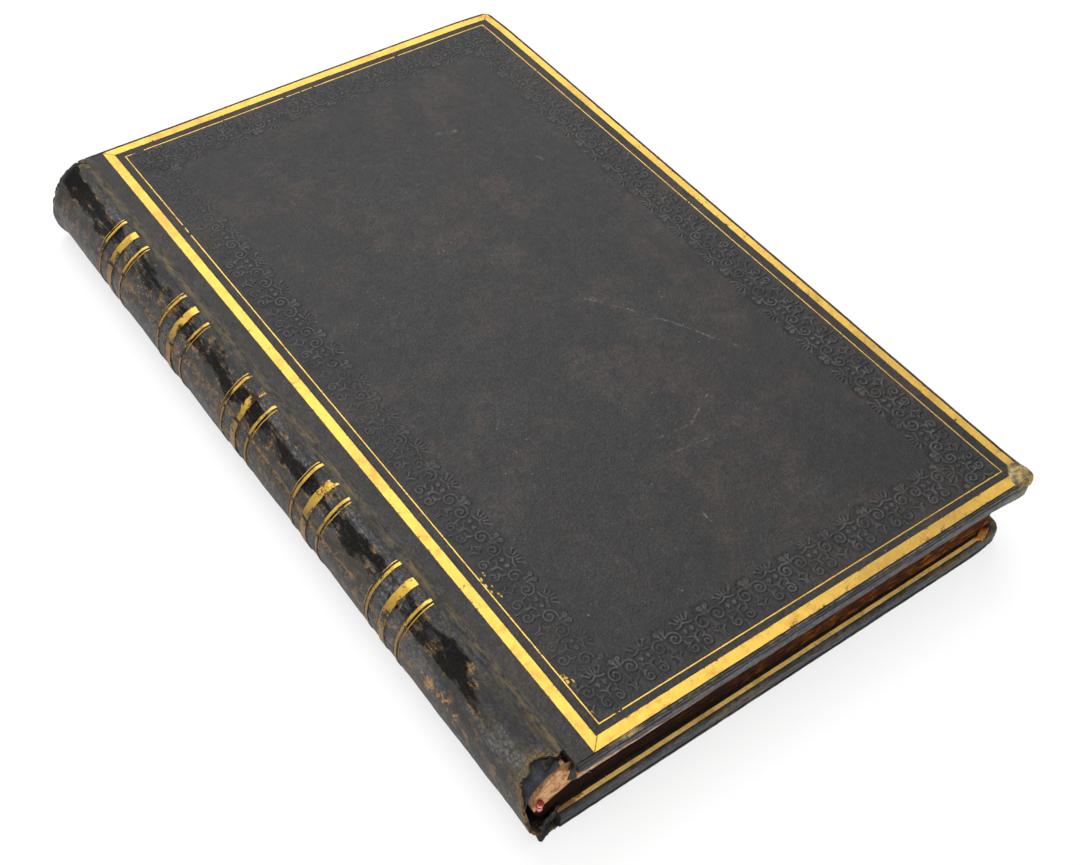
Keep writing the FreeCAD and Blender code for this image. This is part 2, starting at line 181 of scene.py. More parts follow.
class Shade:
    """Builds one node material, with short names for the nodes that leather, gilt and paper need."""

    def __init__(self, name):
        self.material = bpy.data.materials.new(name)
        self.material.use_nodes = True
        self.tree = self.material.node_tree
        self.shader = self.tree.nodes["Principled BSDF"]
        self.place = self.tree.nodes.new("ShaderNodeTexCoord").outputs["Object"]

    def node(self, kind, **inputs):
        made = self.tree.nodes.new(kind)
        for key, value in inputs.items():
            self.put(made.inputs[key], value)
        return made

    def put(self, socket, value):
        if isinstance(value, bpy.types.NodeSocket):
            self.tree.links.new(value, socket)
        else:
            socket.default_value = value

    def noise(self, size_mm, detail=4.0, rough=0.55, where=None):
        made = self.node("ShaderNodeTexNoise", Vector=where or self.place, Scale=1 / (size_mm * MM),
                         Detail=detail, Roughness=rough)
        return made.outputs["Fac"]

    def cells(self, size_mm, feature="F1", where=None):
        made = self.node("ShaderNodeTexVoronoi", Vector=where or self.place, Scale=1 / (size_mm * MM))
        made.feature = feature
        return made.outputs["Distance"]

    def stretch(self, *scale):
        return self.node("ShaderNodeMapping", Vector=self.place, Scale=scale).outputs["Vector"]

    def math(self, operation, a, b=0.0):
        made = self.tree.nodes.new("ShaderNodeMath")
        made.operation = operation
        self.put(made.inputs[0], a)
        self.put(made.inputs[1], b)
        return made.outputs[0]

    def times(self, a, b):
        return self.math("MULTIPLY", a, b)

    def plus(self, a, b):
        return self.math("ADD", a, b)

    def minus(self, a, b):
        return self.math("SUBTRACT", a, b)

    def larger(self, a, b):
        return self.math("MAXIMUM", a, b)

    def spots(self, size_mm, low, high, detail=4.0, rough=0.55, where=None):
        """Patches of noise: 0 where it lies below low and 1 where it lies above high."""
        return self.window(self.noise(size_mm, detail, rough, where), low, high)

    def window(self, value, low, high):
        """0 below low, 1 above high, and smooth between. With low above high it runs the other way."""
        made = self.node("ShaderNodeMapRange", Value=value)
        made.interpolation_type = "SMOOTHSTEP"
        self.put(made.inputs["From Min"], min(low, high))
        self.put(made.inputs["From Max"], max(low, high))
        self.put(made.inputs["To Min"], 0.0 if low < high else 1.0)
        self.put(made.inputs["To Max"], 1.0 if low < high else 0.0)
        return made.outputs["Result"]

    def mix(self, a, b, share):
        made = self.tree.nodes.new("ShaderNodeMix")
        made.data_type = "RGBA"
        self.put(made.inputs["Factor"], share)
        self.put(made.inputs[6], a)
        self.put(made.inputs[7], b)
        return made.outputs[2]

    def value_of(self, name):
        made = self.tree.nodes.new("ShaderNodeAttribute")
        made.attribute_name = name
        return made.outputs["Fac"]

    def paint(self, color, over, name, *patches):
        """Lays a colour over another in patches, where the named value of the points allows it."""
        return self.mix(color, over, self.times(self.value_of(name), self.spots(*patches)))

    def axis(self, name):
        made = self.node("ShaderNodeSeparateXYZ", Vector=self.place)
        return made.outputs[name]

    def near_line(self, start, end, width):
        """1 on a straight line between two points of the cover's plane, fading to 0 at a width."""
        ax, ay = start
        bx, by = end
        length = math.hypot(bx - ax, by - ay)
        along = ((bx - ax) / length, (by - ay) / length, 0.0)
        across = (-along[1], along[0], 0.0)
        moved = self.node("ShaderNodeVectorMath", Vector=self.place)
        moved.operation = "SUBTRACT"
        moved.inputs[1].default_value = (ax * MM, ay * MM, 0.0)
        sides = []
        for direction in (along, across):
            dot = self.tree.nodes.new("ShaderNodeVectorMath")
            dot.operation = "DOT_PRODUCT"
            self.put(dot.inputs[0], moved.outputs[0])
            dot.inputs[1].default_value = direction
            sides.append(dot.outputs["Value"])
        run, off = sides
        wobble = self.times(self.minus(self.noise(9.0, 2.0), 0.5), 2.4 * MM)
        off = self.math("ABSOLUTE", self.plus(off, wobble))
        close = self.window(off, width * MM, 0.0)
        first = self.window(run, 0.0, 2.0 * MM)
        last = self.window(run, length * MM, (length - 2.0) * MM)
        return self.times(close, self.times(first, last))

    def bump(self, height, distance_mm, strength=1.0, under=None):
        made = self.node("ShaderNodeBump", Height=height, Distance=distance_mm * MM,
                         Strength=strength)
        if under is not None:
            self.put(made.inputs["Normal"], under)
        return made.outputs["Normal"]

    def finish(self, color=None, roughness=None, normal=None, **plain):
        if color is not None:
            self.put(self.shader.inputs["Base Color"], color)
        if roughness is not None:
            self.put(self.shader.inputs["Roughness"], roughness)
        if normal is not None:
            self.put(self.shader.inputs["Normal"], normal)
        for key, value in plain.items():
            self.shader.inputs[key.replace("_", " ")].default_value = value
        return self.material


CHARCOAL = (0.0130, 0.0120, 0.0120, 1)
DEEP_BLACK = (0.0040, 0.0036, 0.0036, 1)
BROWNED = (0.0360, 0.0240, 0.0190, 1)
GREYED = (0.0420, 0.0415, 0.0425, 1)
DUST = (0.2600, 0.2500, 0.2400, 1)
RUBBED_SHEEN = (0.1500, 0.1500, 0.1560, 1)
OLIVE = (0.0950, 0.0760, 0.0160, 1)
OCHRE = (0.1500, 0.0900, 0.0230, 1)
RAW_LEATHER = (0.3000, 0.1500, 0.0480, 1)
TAN_BOARD = (0.5200, 0.3100, 0.1700, 1)
GOLD = (0.7000, 0.4450, 0.0720, 1)
DEEP_GOLD = (0.4300, 0.2250, 0.0300, 1)
RIDGE_HIGHLIGHT = (0.062, 0.060, 0.060, 1)
EDGE_DARK = (0.030, 0.030, 0.032, 1)
PALE_HIDE = (0.62, 0.46, 0.20, 1)
BOARD_LIGHT = (0.62, 0.37, 0.20, 1)
BOARD_DARK = (0.34, 0.155, 0.055, 1)
SPINE_DARK = (0.022, 0.021, 0.020, 1)
SPINE_GREY = (0.115, 0.116, 0.118, 1)
TORN_HIDE = (0.42, 0.22, 0.070, 1)
SCUFF_ORANGE = (0.40, 0.19, 0.045, 1)
FRAYED_TAN = (0.20, 0.115, 0.028, 1)
DULLED_GOLD = (0.19, 0.105, 0.030, 1)
BROWN_SIZE = (0.16, 0.075, 0.018, 1)
EDGE_NEAR = (0.010, 0.003, 0.002, 1)
EDGE_FAR = (0.060, 0.016, 0.004, 1)
EDGE_WARM = (0.27, 0.080, 0.010, 1)
EDGE_SPOT = (0.012, 0.005, 0.004, 1)
PEACH = (0.66, 0.40, 0.22, 1)
PEACH_BROWN = (0.36, 0.165, 0.060, 1)
FOLD_DARK = (0.034, 0.033, 0.032, 1)

# Scratches on the front cover, as lines between two points of the row frame, with a width
SCRATCHES = [
    ((25.0, -8.7), (38.0, -26.6), 0.9),
    ((38.0, -26.6), (57.0, -60.3), 0.7),
    ((25.0, -4.0), (33.0, -20.0), 0.5),
    ((3.1, -77.5), (18.1, -79.0), 0.7),
    ((18.1, -79.0), (33.0, -70.5), 0.7),
    ((5.4, -85.0), (21.2, -87.0), 0.5),
    ((31.0, 99.5), (42.5, 96.2), 1.6),
    ((58.3, 67.5), (60.2, 62.0), 0.9),
    ((-2.7, -109.2), (-2.6, -116.7), 0.5),
    ((-39.8, -132.1), (-33.7, -130.9), 0.6),
]


def cover_leather_material(name, scratches=()):
    shade = Shade(name)
    broad = shade.noise(38.0, 3.0, 0.6)
    middling = shade.noise(9.0, 4.0, 0.6)
    fine = shade.noise(1.1, 3.0, 0.7)
    brown = shade.times(shade.window(broad, 0.44, 0.60), shade.window(middling, 0.35, 0.65))
    color = shade.mix(CHARCOAL, BROWNED, brown)
    grey = shade.times(shade.spots(22.0, 0.48, 0.68, 5.0, 0.65), shade.window(fine, 0.42, 0.64))
    color = shade.mix(color, GREYED, shade.times(grey, 0.75))
    mottle = shade.spots(2.4, 0.40, 0.62, 5.0, 0.75)
    color = shade.mix(shade.mix(color, DEEP_BLACK, 0.55), color, mottle)
    pores = shade.window(shade.cells(0.9), 0.10, 0.45)
    color = shade.mix(DEEP_BLACK, color, shade.plus(shade.times(pores, 0.5), 0.5))
    specks = shade.times(shade.window(shade.cells(4.2), 0.075, 0.03), shade.spots(26.0, 0.45, 0.6, 2.0))
    color = shade.mix(color, DUST, shade.times(specks, 0.7))
    if scratches:
        marks = None
        for start, end, width in scratches:
            mark = shade.near_line(start, end, width)
            marks = mark if marks is None else shade.larger(marks, mark)
        broken = shade.times(shade.spots(1.4, 0.44, 0.60, 5.0, 0.8), shade.spots(7.0, 0.36, 0.56, 3.0))
        color = shade.mix(color, DUST, shade.times(shade.times(marks, broken), 0.45))
    relief = shade.value_of("relief")
    # Painted highlight: the tops of raised strokes are greyed in patches, standing in for the light that
    # catches them.
    ridge_highlight = shade.times(shade.window(relief, 0.03, 0.13), shade.spots(6.0, 0.30, 0.62, 4.0, 0.7))
    color = shade.mix(color, RIDGE_HIGHLIGHT, ridge_highlight)
    # Painted shade: leather sunk below its face, in the roll's flanks and the edge's grooves, is darkened
    # towards black.
    color = shade.mix(color, DEEP_BLACK, shade.times(shade.window(relief, -0.02, -0.12), 0.85))
    worn = shade.value_of("wear")
    # Painted sheen: worn places on the edges are greyed in streaks, partly real rubbing and partly the
    # light that the edge faces reflect.
    rub_and_sheen = shade.times(worn, shade.spots(1.6, 0.30, 0.58, 5.0, 0.7))
    streaks = shade.noise(1.5, 5.0, 0.7, where=shade.stretch(0.14, 0.14, 1.3))
    color = shade.mix(color, shade.mix(EDGE_DARK, RUBBED_SHEEN, shade.window(streaks, 0.40, 0.62)), rub_and_sheen)
    color = shade.paint(color, shade.mix(OLIVE, OCHRE, fine), "stain", 3.2, 0.42, 0.56, 5.0, 0.7)
    color = shade.paint(color, shade.mix(RAW_LEATHER, PALE_HIDE, fine), "bare", 2.0, 0.40, 0.56, 4.0)
    crackle = shade.window(shade.cells(1.5, "DISTANCE_TO_EDGE"), 0.0, 0.09)
    color = shade.mix(shade.mix(color, DEEP_BLACK, 0.5), color, crackle)
    torn = shade.plus(shade.value_of("peeled"), shade.times(shade.noise(3.0, 5.0, 0.7), 0.4))
    board = shade.mix(BOARD_LIGHT, BOARD_DARK, shade.spots(2.2, 0.40, 0.62, 5.0, 0.7))
    color = shade.mix(color, board, shade.window(torn, 0.52, 0.60))
    grain = shade.plus(shade.times(shade.cells(0.9), 0.6), shade.noise(0.4, 2.0))
    grain = shade.plus(grain, shade.times(crackle, 0.5))
    normal = shade.bump(grain, 0.18, 0.55)
    normal = shade.bump(shade.noise(4.0, 6.0, 0.65), 0.6, 0.5, under=normal)
    rough = shade.plus(0.36, shade.times(shade.noise(3.0, 5.0, 0.7), 0.34))
    return shade.finish(color, rough, normal, Specular_IOR_Level=0.32)


def spine_leather_material():
    """Dark leather that has flaked to a glossy black beside the front joint and scuffed elsewhere."""
    shade = Shade("spine_leather")
    long_way = shade.stretch(1.0, 0.22, 1.0)
    fine = shade.noise(1.0, 4.0, 0.7)
    mottle = shade.spots(2.6, 0.42, 0.60, 6.0, 0.75)
    color = shade.mix(DEEP_BLACK, SPINE_DARK, mottle)
    grey = shade.spots(8.0, 0.42, 0.62, 5.0, 0.65, where=long_way)
    color = shade.mix(color, SPINE_GREY, shade.times(grey, shade.window(fine, 0.38, 0.60)))
    blotch = shade.spots(12.0, 0.44, 0.58, 6.0, 0.7, where=shade.stretch(1.0, 0.5, 1.0))
    color = shade.mix(color, DEEP_BLACK, shade.times(blotch, 0.72))
    color = shade.paint(color, shade.mix(OLIVE, OCHRE, fine), "stain", 5.0, 0.45, 0.57, 6.0, 0.75, long_way)
    patches = shade.noise(5.0, 6.0, 0.7, where=long_way)
    strip = shade.plus(shade.value_of("flaked"), shade.minus(patches, 0.5))
    flaked = shade.window(strip, 0.38, 0.53)
    residue = shade.minus(0.98, shade.times(shade.window(fine, 0.50, 0.68), 0.35))
    color = shade.mix(color, DEEP_BLACK, shade.times(flaked, residue))
    rim_out = shade.window(strip, 0.34, 0.42)
    rim = shade.times(rim_out, shade.minus(1.0, flaked))
    rim = shade.times(rim, shade.spots(6.0, 0.50, 0.58, 5.0, 0.7))
    torn_fibre = shade.mix(OCHRE, TORN_HIDE, shade.window(fine, 0.4, 0.65))
    color = shade.mix(color, torn_fibre, shade.times(rim, 0.9))
    color = shade.paint(color, torn_fibre, "crack", 2.2, 0.42, 0.54, 5.0, 0.75)
    color = shade.paint(color, SCUFF_ORANGE, "scuff", 3.6, 0.54, 0.59, 4.0, 0.6)
    color = shade.paint(color, DEEP_GOLD, "flecks", 1.5, 0.58, 0.62, 3.0, 0.8)
    color = shade.paint(color, shade.mix(OLIVE, FRAYED_TAN, fine), "edge", 1.6, 0.40, 0.54, 5.0, 0.75)
    crackle = shade.window(shade.cells(1.7, "DISTANCE_TO_EDGE", where=shade.stretch(1.0, 0.6, 1.0)),
                           0.0, 0.10)
    color = shade.mix(shade.mix(color, DEEP_BLACK, 0.7), color, crackle)
    normal = shade.bump(shade.plus(shade.cells(0.8), shade.times(crackle, 0.8)), 0.22, 0.6)
    creases = shade.noise(1.8, 7.0, 0.75, where=shade.stretch(1.0, 0.45, 1.0))
    normal = shade.bump(creases, 1.1, 0.8, under=normal)
    normal = shade.bump(flaked, -0.25, 0.6, under=normal)
    dull = shade.plus(0.38, shade.times(fine, 0.25))
    rough = shade.minus(dull, shade.times(flaked, 0.10))
    shine = shade.minus(0.50, shade.times(flaked, 0.42))
    shade.put(shade.shader.inputs["Specular IOR Level"], shine)
    return shade.finish(color, rough, normal)


def gilt_material(name, wear=0.15, under=CHARCOAL, metal=0.45, gold=GOLD):
    """Gold leaf on leather. Wear, from 0 to 1, shows the leather and brown size under it."""
    shade = Shade(name)
    tone = shade.noise(7.0, 6.0, 0.75)
    color = shade.mix(gold, DEEP_GOLD, shade.times(shade.window(tone, 0.45, 0.70), 0.75))
    color = shade.mix(color, DULLED_GOLD, shade.value_of("dull"))
    flecks = shade.noise(0.8, 5.0, 0.75)
    patches = shade.noise(4.5, 4.0, 0.65)
    lost = shade.plus(shade.times(flecks, 0.5), shade.times(patches, 0.5))
    rubbed = shade.plus(lost, shade.times(shade.value_of("wear"), 0.25))
    gone = shade.window(rubbed, 0.66 - wear * 0.3, 0.70 - wear * 0.3)
    brown = shade.window(rubbed, 0.60 - wear * 0.3, 0.68 - wear * 0.3)
    color = shade.mix(color, BROWN_SIZE, shade.times(brown, 0.8))
    color = shade.mix(color, under, gone)
    shine = shade.times(shade.minus(1.0, gone), metal)
    shade.put(shade.shader.inputs["Metallic"], shine)
    normal = shade.bump(shade.cells(0.9), 0.14, 0.4)
    normal = shade.bump(shade.noise(2.5, 4.0), 0.30, 0.45, under=normal)
    rough = shade.plus(0.38, shade.times(flecks, 0.25))
    return shade.finish(color, rough, normal, Specular_IOR_Level=0.3)


def paper_material(name, light, dark, size=30.0):
    shade = Shade(name)
    stain = shade.spots(size, 0.4, 0.7, 5.0, 0.65)
    color = shade.mix(light, dark, stain)
    foxing = shade.spots(2.2, 0.66, 0.74, 3.0, 0.8)
    color = shade.mix(color, dark, shade.times(foxing, 0.6))
    normal = shade.bump(shade.noise(0.5, 4.0), 0.06, 0.4)
    return shade.finish(color, 0.85, normal, Specular_IOR_Level=0.2)


def page_edge_material():
    """Sprinkled page edges, red-black beside the spine and browner further out, with a peach shoulder."""
    shade = Shade("page_edges")
    across = shade.axis("X")
    height = shade.axis("Z")
    far = shade.window(across, -70.0 * MM, 80.0 * MM)
    color = shade.mix(EDGE_NEAR, EDGE_FAR, far)
    warm = shade.spots(4.0, 0.46, 0.64, 6.0, 0.75, where=shade.stretch(0.6, 1.0, 1.6))
    color = shade.mix(color, EDGE_WARM, shade.times(warm, shade.plus(0.04, far)))
    dark_spots = shade.spots(3.2, 0.48, 0.62, 6.0, 0.75)
    color = shade.mix(color, EDGE_SPOT, shade.times(dark_spots, 0.85))
    rise = shade.window(across, (TEXT_CREST - 1.0) * MM, (FRONT_X + 6.0) * MM)
    reach = shade.window(across, (FRONT_X - 8.0) * MM, (FRONT_X + 110.0) * MM)
    line = shade.plus(shade.times(rise, 0.17 * BOOK_T * MM), 0.36 * BOOK_T * MM)
    line = shade.plus(line, shade.times(reach, 4.4 * MM))
    wobble = shade.times(shade.minus(shade.noise(9.0, 4.0), 0.5), 2.4 * MM)
    over = shade.minus(shade.plus(height, wobble), line)
    peach = shade.mix(PEACH, PEACH_BROWN, shade.spots(2.2, 0.40, 0.62, 5.0, 0.7))
    color = shade.mix(color, peach, shade.window(over, 0.0, 0.4 * MM))
    leaves = shade.noise(0.6, 3.0, where=shade.stretch(0.05, 0.05, 1.0))
    normal = shade.bump(leaves, 0.15, 0.6)
    return shade.finish(color, 0.7, normal, Specular_IOR_Level=0.08)


def plain_leather(name, color_a, color_b, rough=0.7):
    shade = Shade(name)
    color = shade.mix(color_a, color_b, shade.spots(3.0, 0.4, 0.65, 5.0, 0.7))
    normal = shade.bump(shade.noise(1.2, 5.0, 0.7), 0.25, 0.5)
    return shade.finish(color, rough, normal, Specular_IOR_Level=0.3)


MATERIALS = {
    "front_leather": cover_leather_material("front_leather", SCRATCHES),
    "back_leather": cover_leather_material("back_leather"),
    "spine": spine_leather_material(),
    "gilt": gilt_material("gilt_leaf", 0.10),
    "worn_gilt": gilt_material("worn_gilt_leaf", 0.22),
    # The inner gilt is gold leaf painted brighter and matte compared with the outer leaf: a painted
    # reflection standing in for the light its metal would catch.
    "inner_gilt": gilt_material("inner_gilt_leaf_brightened", 0.08, RAW_LEATHER, 0.0, (1.0, 0.68, 0.200, 1)),
    "board": paper_material("pulpboard", TAN_BOARD, (0.20, 0.10, 0.05, 1), 12.0),
    "endpaper": paper_material("endpaper", (0.50, 0.41, 0.28, 1), (0.41, 0.31, 0.19, 1), 60.0),
    "page_edges": page_edge_material(),
    "liner": plain_leather("liner_paper", (0.016, 0.018, 0.024, 1), (0.040, 0.042, 0.052, 1)),
    "fibre": plain_leather("torn_fibre", (0.030, 0.020, 0.010, 1), (0.24, 0.125, 0.035, 1), 0.85),
    "raw_patch": plain_leather("raw_leather_patch", (0.72, 0.29, 0.048, 1), (0.30, 0.100, 0.018, 1), 0.7),
    "tatter": plain_leather("torn_black_leather", DEEP_BLACK, (0.040, 0.034, 0.024, 1), 0.5),
    "lump": plain_leather("bunched_leather", (0.058, 0.048, 0.026, 1), (0.43, 0.30, 0.090, 1), 0.5),
    "red_thread": plain_leather("red_thread", (0.42, 0.020, 0.030, 1), (0.22, 0.012, 0.016, 1)),
    "white_thread": plain_leather("white_thread", (0.50, 0.40, 0.34, 1), (0.34, 0.22, 0.18, 1)),
    "cord": plain_leather("sewing_cord", (0.42, 0.33, 0.21, 1), (0.28, 0.20, 0.12, 1)),
}


# Covers. A cover's own plan has x from its joint, y from tail to head, and z up from its outer face.

def corner_share(x, y, end, reach):
    """1 at the fore corner of one end of a cover, fading with distance."""
    return math.exp(-(math.hypot(x - COVER_W, y - end) / reach) ** 2)


# How far each cover's crushed corner is pressed in along its diagonal. Below 0 it bulges out.
CORNER_PRESS = {"front": -0.7, "back": 1.2}
CRUSHED_END = {"front": TAIL, "back": HEAD}


def pressed(side, x, y):
    """A place of a cover's plan, moved with the crushed corner."""
    end = CRUSHED_END[side]
    press = CORNER_PRESS[side] * corner_share(x, y, end, 9.0) * math.sqrt(0.5)
    return x - press, y - press * math.copysign(1.0, end)


def cover_warp(side, x, y):
    """How far a cover's face lies above or below flat: a gentle wave and bumped corners."""
    if side == "back":
        return -0.6 * corner_share(x, y, HEAD, 9.0)
    wave = 0.18 * ripple(x, y, 0.0, 70.0, 3.1) * min(1.0, x / 30.0)
    return wave + 0.45 * corner_share(x, y, TAIL, 9.0) - 0.8 * corner_share(x, y, HEAD, 12.0)


def on_cover(side, x, y, z):
    """A point of a cover's own plan, in the row frame. The back cover is turned over about X."""
    warp = cover_warp(side, x, y)
    x, y = pressed(side, x, y)
    if side == "front":
        return (FRONT_X + x, y, BOOK_T + z + warp)
    return (BACK_X + x, -y, -z - warp)


COVER_VALUES = ("wear", "bare", "stain", "relief", "peeled")


class Skin:
    """The points, faces and point values of one side's cover, given in the cover's own plan."""

    def __init__(self, side):
        self.side = side
        self.points, self.faces = [], []
        self.values = {key: [] for key in COVER_VALUES}

    def add(self, x, y, z, **given):
        """Adds one point, with 0 for the values that aren't given."""
        self.points.append(on_cover(self.side, x, y, z))
        for key in COVER_VALUES:
            self.values[key].append(given.get(key, 0.0))

    def patch(self, xs, ys, height, flip=False, stain=0.0):
        """A flat stretch at one height."""
        offset = len(self.points)
        for y in ys:
            for x in xs:
                self.add(x, y, height, stain=stain * max(0.2, 1.0 - x / JOINT_MARGIN))
        self.faces += grid_faces(len(ys), len(xs), offset, flip=flip)


def rim_path(step):
    """Points round the tail, fore-edge and head of a cover, each as a corner centre or a straight place.

    Every point is (x, y, outward x, outward y, round), where round says that it lies on a corner,
    and x, y is then that corner's centre.
    """
    path = []
    for x in stations(JOINT_START, COVER_W - CORNER_R, step):
        path.append((x, TAIL, 0.0, -1.0, False))
    for angle in np.linspace(-90, 0, 9)[1:-1]:
        turn = math.radians(angle)
        path.append((COVER_W - CORNER_R, TAIL + CORNER_R, math.cos(turn), math.sin(turn), True))
    for y in stations(TAIL + CORNER_R, HEAD - CORNER_R, step):
        path.append((COVER_W, y, 1.0, 0.0, False))
    for angle in np.linspace(0, 90, 9)[1:-1]:
        turn = math.radians(angle)
        path.append((COVER_W - CORNER_R, HEAD - CORNER_R, math.cos(turn), math.sin(turn), True))
    for x in stations(COVER_W - CORNER_R, JOINT_START, step):
        path.append((x, HEAD, 0.0, 1.0, False))
    return path


def inset_point(station, inset):
    """The place of a rim station at an inset from the cover's edge."""
    x, y, out_x, out_y, is_round = station
    reach = (CORNER_R - inset) if is_round else -inset
    return x + out_x * reach, y + out_y * reach


# The edge's section, from the outer face to the inner one: inset, height, wear. The wear column greys the
# leather with real rubbing and painted sheen; below 0 it paints shade into a groove.
EDGE_SECTION = [
    (EDGE_MARGIN, -SINK, 0.0),
    (1.40, -0.30, -1.0),
    (1.16, -0.34, -1.0),
    (1.02, -0.06, 0.3),
    (0.78, 0.02, 0.9),
    (0.48, -0.08, 0.9),
    (0.26, -0.30, 0.2),
    (0.16, -0.42, 0.3),
    (0.03, -0.70, 1.0),
    (0.03, -1.10, 0.9),
    (0.18, -1.45, 0.0),
    (0.52, -1.75, -1.0),
    (0.54, -2.05, -1.0),
    (0.20, -2.35, 0.5),
    (0.05, -2.90, 1.0),
    (0.05, -3.80, 0.9),
    (0.07, -4.80, 0.9),
    (0.10, -5.70, 0.8),
    (0.28, -6.45, 0.6),
    (0.60, -6.95, 0.6),
    (1.05, -7.15, 0.5),
    (1.50, -7.15, 0.3),
]


def edge_skin(skin):
    """The leather round the three edges, with its bead, groove, small dents and one crushed corner."""
    path = rim_path(1.0)
    side = skin.side
    offset = len(skin.points)
    for inset, height, rub_and_sheen in EDGE_SECTION:
        for station in path:
            x, y = inset_point(station, inset)
            crush = corner_share(x, y, CRUSHED_END[side], 8.0)
            free = clamp((EDGE_MARGIN - inset) / 0.5) if inset < 1.3 else 0.0
            near_joint = min(1.0, 0.25 + x / 24.0)
            dent = 0.16 * abs(ripple(x, y, height, 6.0, 7.7)) + 0.10 * abs(ripple(x, y, height, 1.7, 2.2))
            dent += crush * 0.5 * abs(ripple(x, y, height, 2.2, 3.9))
            x -= station[2] * dent * free
            y -= station[3] * dent * free
            sag = 0.0
            if side == "front":
                sag = -2.6 * corner_share(x, y, TAIL, 13.0) * free * min(1.0, -height / 5.0)
            patch_share = 0.5 + 0.5 * ripple(x, y, height, 18.0, 4.4)
            scuffed = bell(x, 19.0, 4.0) if y < TAIL + 3.0 and 0.0 < -height < 1.2 else 0.0
            peel = 0.6 + 3.6 * math.exp(-x / 26.0) + 0.5 * ripple(x, 0.0, 0.0, 5.0, 2.8)
            at_tail = side == "front" and y < TAIL + 2.0 and x < 84.0
            peeled = clamp((peel - (COVER_T + height)) / 0.8) if at_tail else 0.0
            calm, torn = (1.0, 0.35) if side == "front" else (1.0 - crush, 0.1)
            wear = min(1.0, near_joint * rub_and_sheen * (0.6 + 0.6 * patch_share)) * calm
            # Where the section's wear column is below 0, the relief is sunk, which paints shade into the
            # edge's grooves.
            skin.add(x, y, height + sag + 0.3 * dent * free, peeled=peeled, wear=wear,
                     relief=min(0.0, 0.15 * rub_and_sheen), bare=torn * crush + 0.9 * scuffed,
                     stain=0.75 * free * max(0.0, ripple(x, y, 0.0, 24.0, 9.2)) + 0.9 * crush)
    skin.faces += grid_faces(len(EDGE_SECTION), len(path), offset)
    rows = range(len(EDGE_SECTION))
    skin.faces.append(tuple(offset + r * len(path) for r in rows))
    skin.faces.append(tuple(offset + r * len(path) + len(path) - 1 for r in rows)[::-1])


def ring_points(inset):
    """A closed rectangle at an inset from the three edges, starting at the joint and the tail.

    Beside the joint it keeps its distance from the outer gilt edge instead.
    """
    left = JOINT_MARGIN + inset - EDGE_MARGIN
    right = COVER_W - inset
    top = HEAD - inset
    step = 3.0
    across = len(stations(JOINT_MARGIN, COVER_W - EDGE_MARGIN, step))
    along = len(stations(TAIL + EDGE_MARGIN, HEAD - EDGE_MARGIN, step))
    ring = [(x, -top) for x in np.linspace(left, right, across)[:-1]]
    ring += [(right, y) for y in np.linspace(-top, top, along)[:-1]]
    ring += [(x, top) for x in np.linspace(right, left, across)[:-1]]
    ring += [(left, y) for y in np.linspace(top, -top, along)[:-1]]
    return ring


def face_rings(skin):
    """The outer face between the edge and the blind roll, with the sunk beds of the gilding."""
    line_low = EDGE_MARGIN + LINE_INSET
    levels = [
        (EDGE_MARGIN, -SINK),
        (EDGE_MARGIN + FILLET_W, -SINK),
        (EDGE_MARGIN + FILLET_W + 0.06, 0.0),
        (line_low - 0.06, 0.0),
        (line_low, -SINK),
        (line_low + LINE_W, -SINK),
        (line_low + LINE_W + 0.06, 0.0),
        (ROLL_INSET, 0.0),
    ]
    offset = len(skin.points)
    for inset, height in levels:
        ring = ring_points(inset)
        for x, y in ring:
            near_joint = max(0.0, 1.0 - (x - JOINT_MARGIN) / 6.0)
            skin.add(x, y, height, bare=0.9 * corner_share(x, y, CRUSHED_END[skin.side], 5.0),
                     stain=0.25 * near_joint * (0.5 + 0.5 * ripple(x, y, 0.0, 14.0, 2.2)))
    skin.faces += grid_faces(len(levels), len(ring), offset, close=True)


def make_cover_skin(side, with_roll):
    """The leather of one cover: outer face, edges, turned-in margins and the bare joint edge."""
    skin = Skin(side)
    edge_skin(skin)
    face_rings(skin)
    joint_ys = stations(TAIL + EDGE_MARGIN, HEAD - EDGE_MARGIN, 3.0)
    skin.patch([JOINT_START, 1.8, 3.0, 4.5, JOINT_MARGIN], joint_ys, 0.0, stain=0.14)
    inner = ROLL_INSET + (ROLL_W if with_roll else 0.0)
    left = JOINT_MARGIN + inner - EDGE_MARGIN
    skin.patch(stations(left, COVER_W - inner, 3.0), stations(TAIL + inner, HEAD - inner, 3.0), 0.0)
    rim_inset, inner_z = EDGE_SECTION[-1][0], -COVER_T + INNER_RECESS
    low, high = TAIL + rim_inset, HEAD - rim_inset
    right = COVER_W - rim_inset
    strips = [
        ([JOINT_START, TURN_IN], [low, high]),
        ([TURN_IN, COVER_W - TURN_IN], [low, TAIL + TURN_IN]),
        ([TURN_IN, COVER_W - TURN_IN], [HEAD - TURN_IN, high]),
        ([COVER_W - TURN_IN, right], [low + CORNER_R, high - CORNER_R]),
        ([COVER_W - TURN_IN, right - CORNER_R], [low, low + CORNER_R]),
        ([COVER_W - TURN_IN, right - CORNER_R], [high - CORNER_R, high]),
    ]
    for xs, ys in strips:
        skin.patch(stations(*xs, 4.0), stations(*ys, 4.0), inner_z, flip=True)
    inner_corners(skin, inner_z, rim_inset)
    joint_edge(skin, inner_z, joint_ys)
    leather = add_mesh(f"{side}_cover_skin", skin.points, skin.faces, [MATERIALS[f"{side}_leather"]],
                       attributes=skin.values)
    weld(leather)
    mark_sharp(leather)
    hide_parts(f"{side}_cover_leather")
    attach(leather, f"{side}_cover")


BOARD_COVERING = 0.95
BOARD_RIM = 5.0


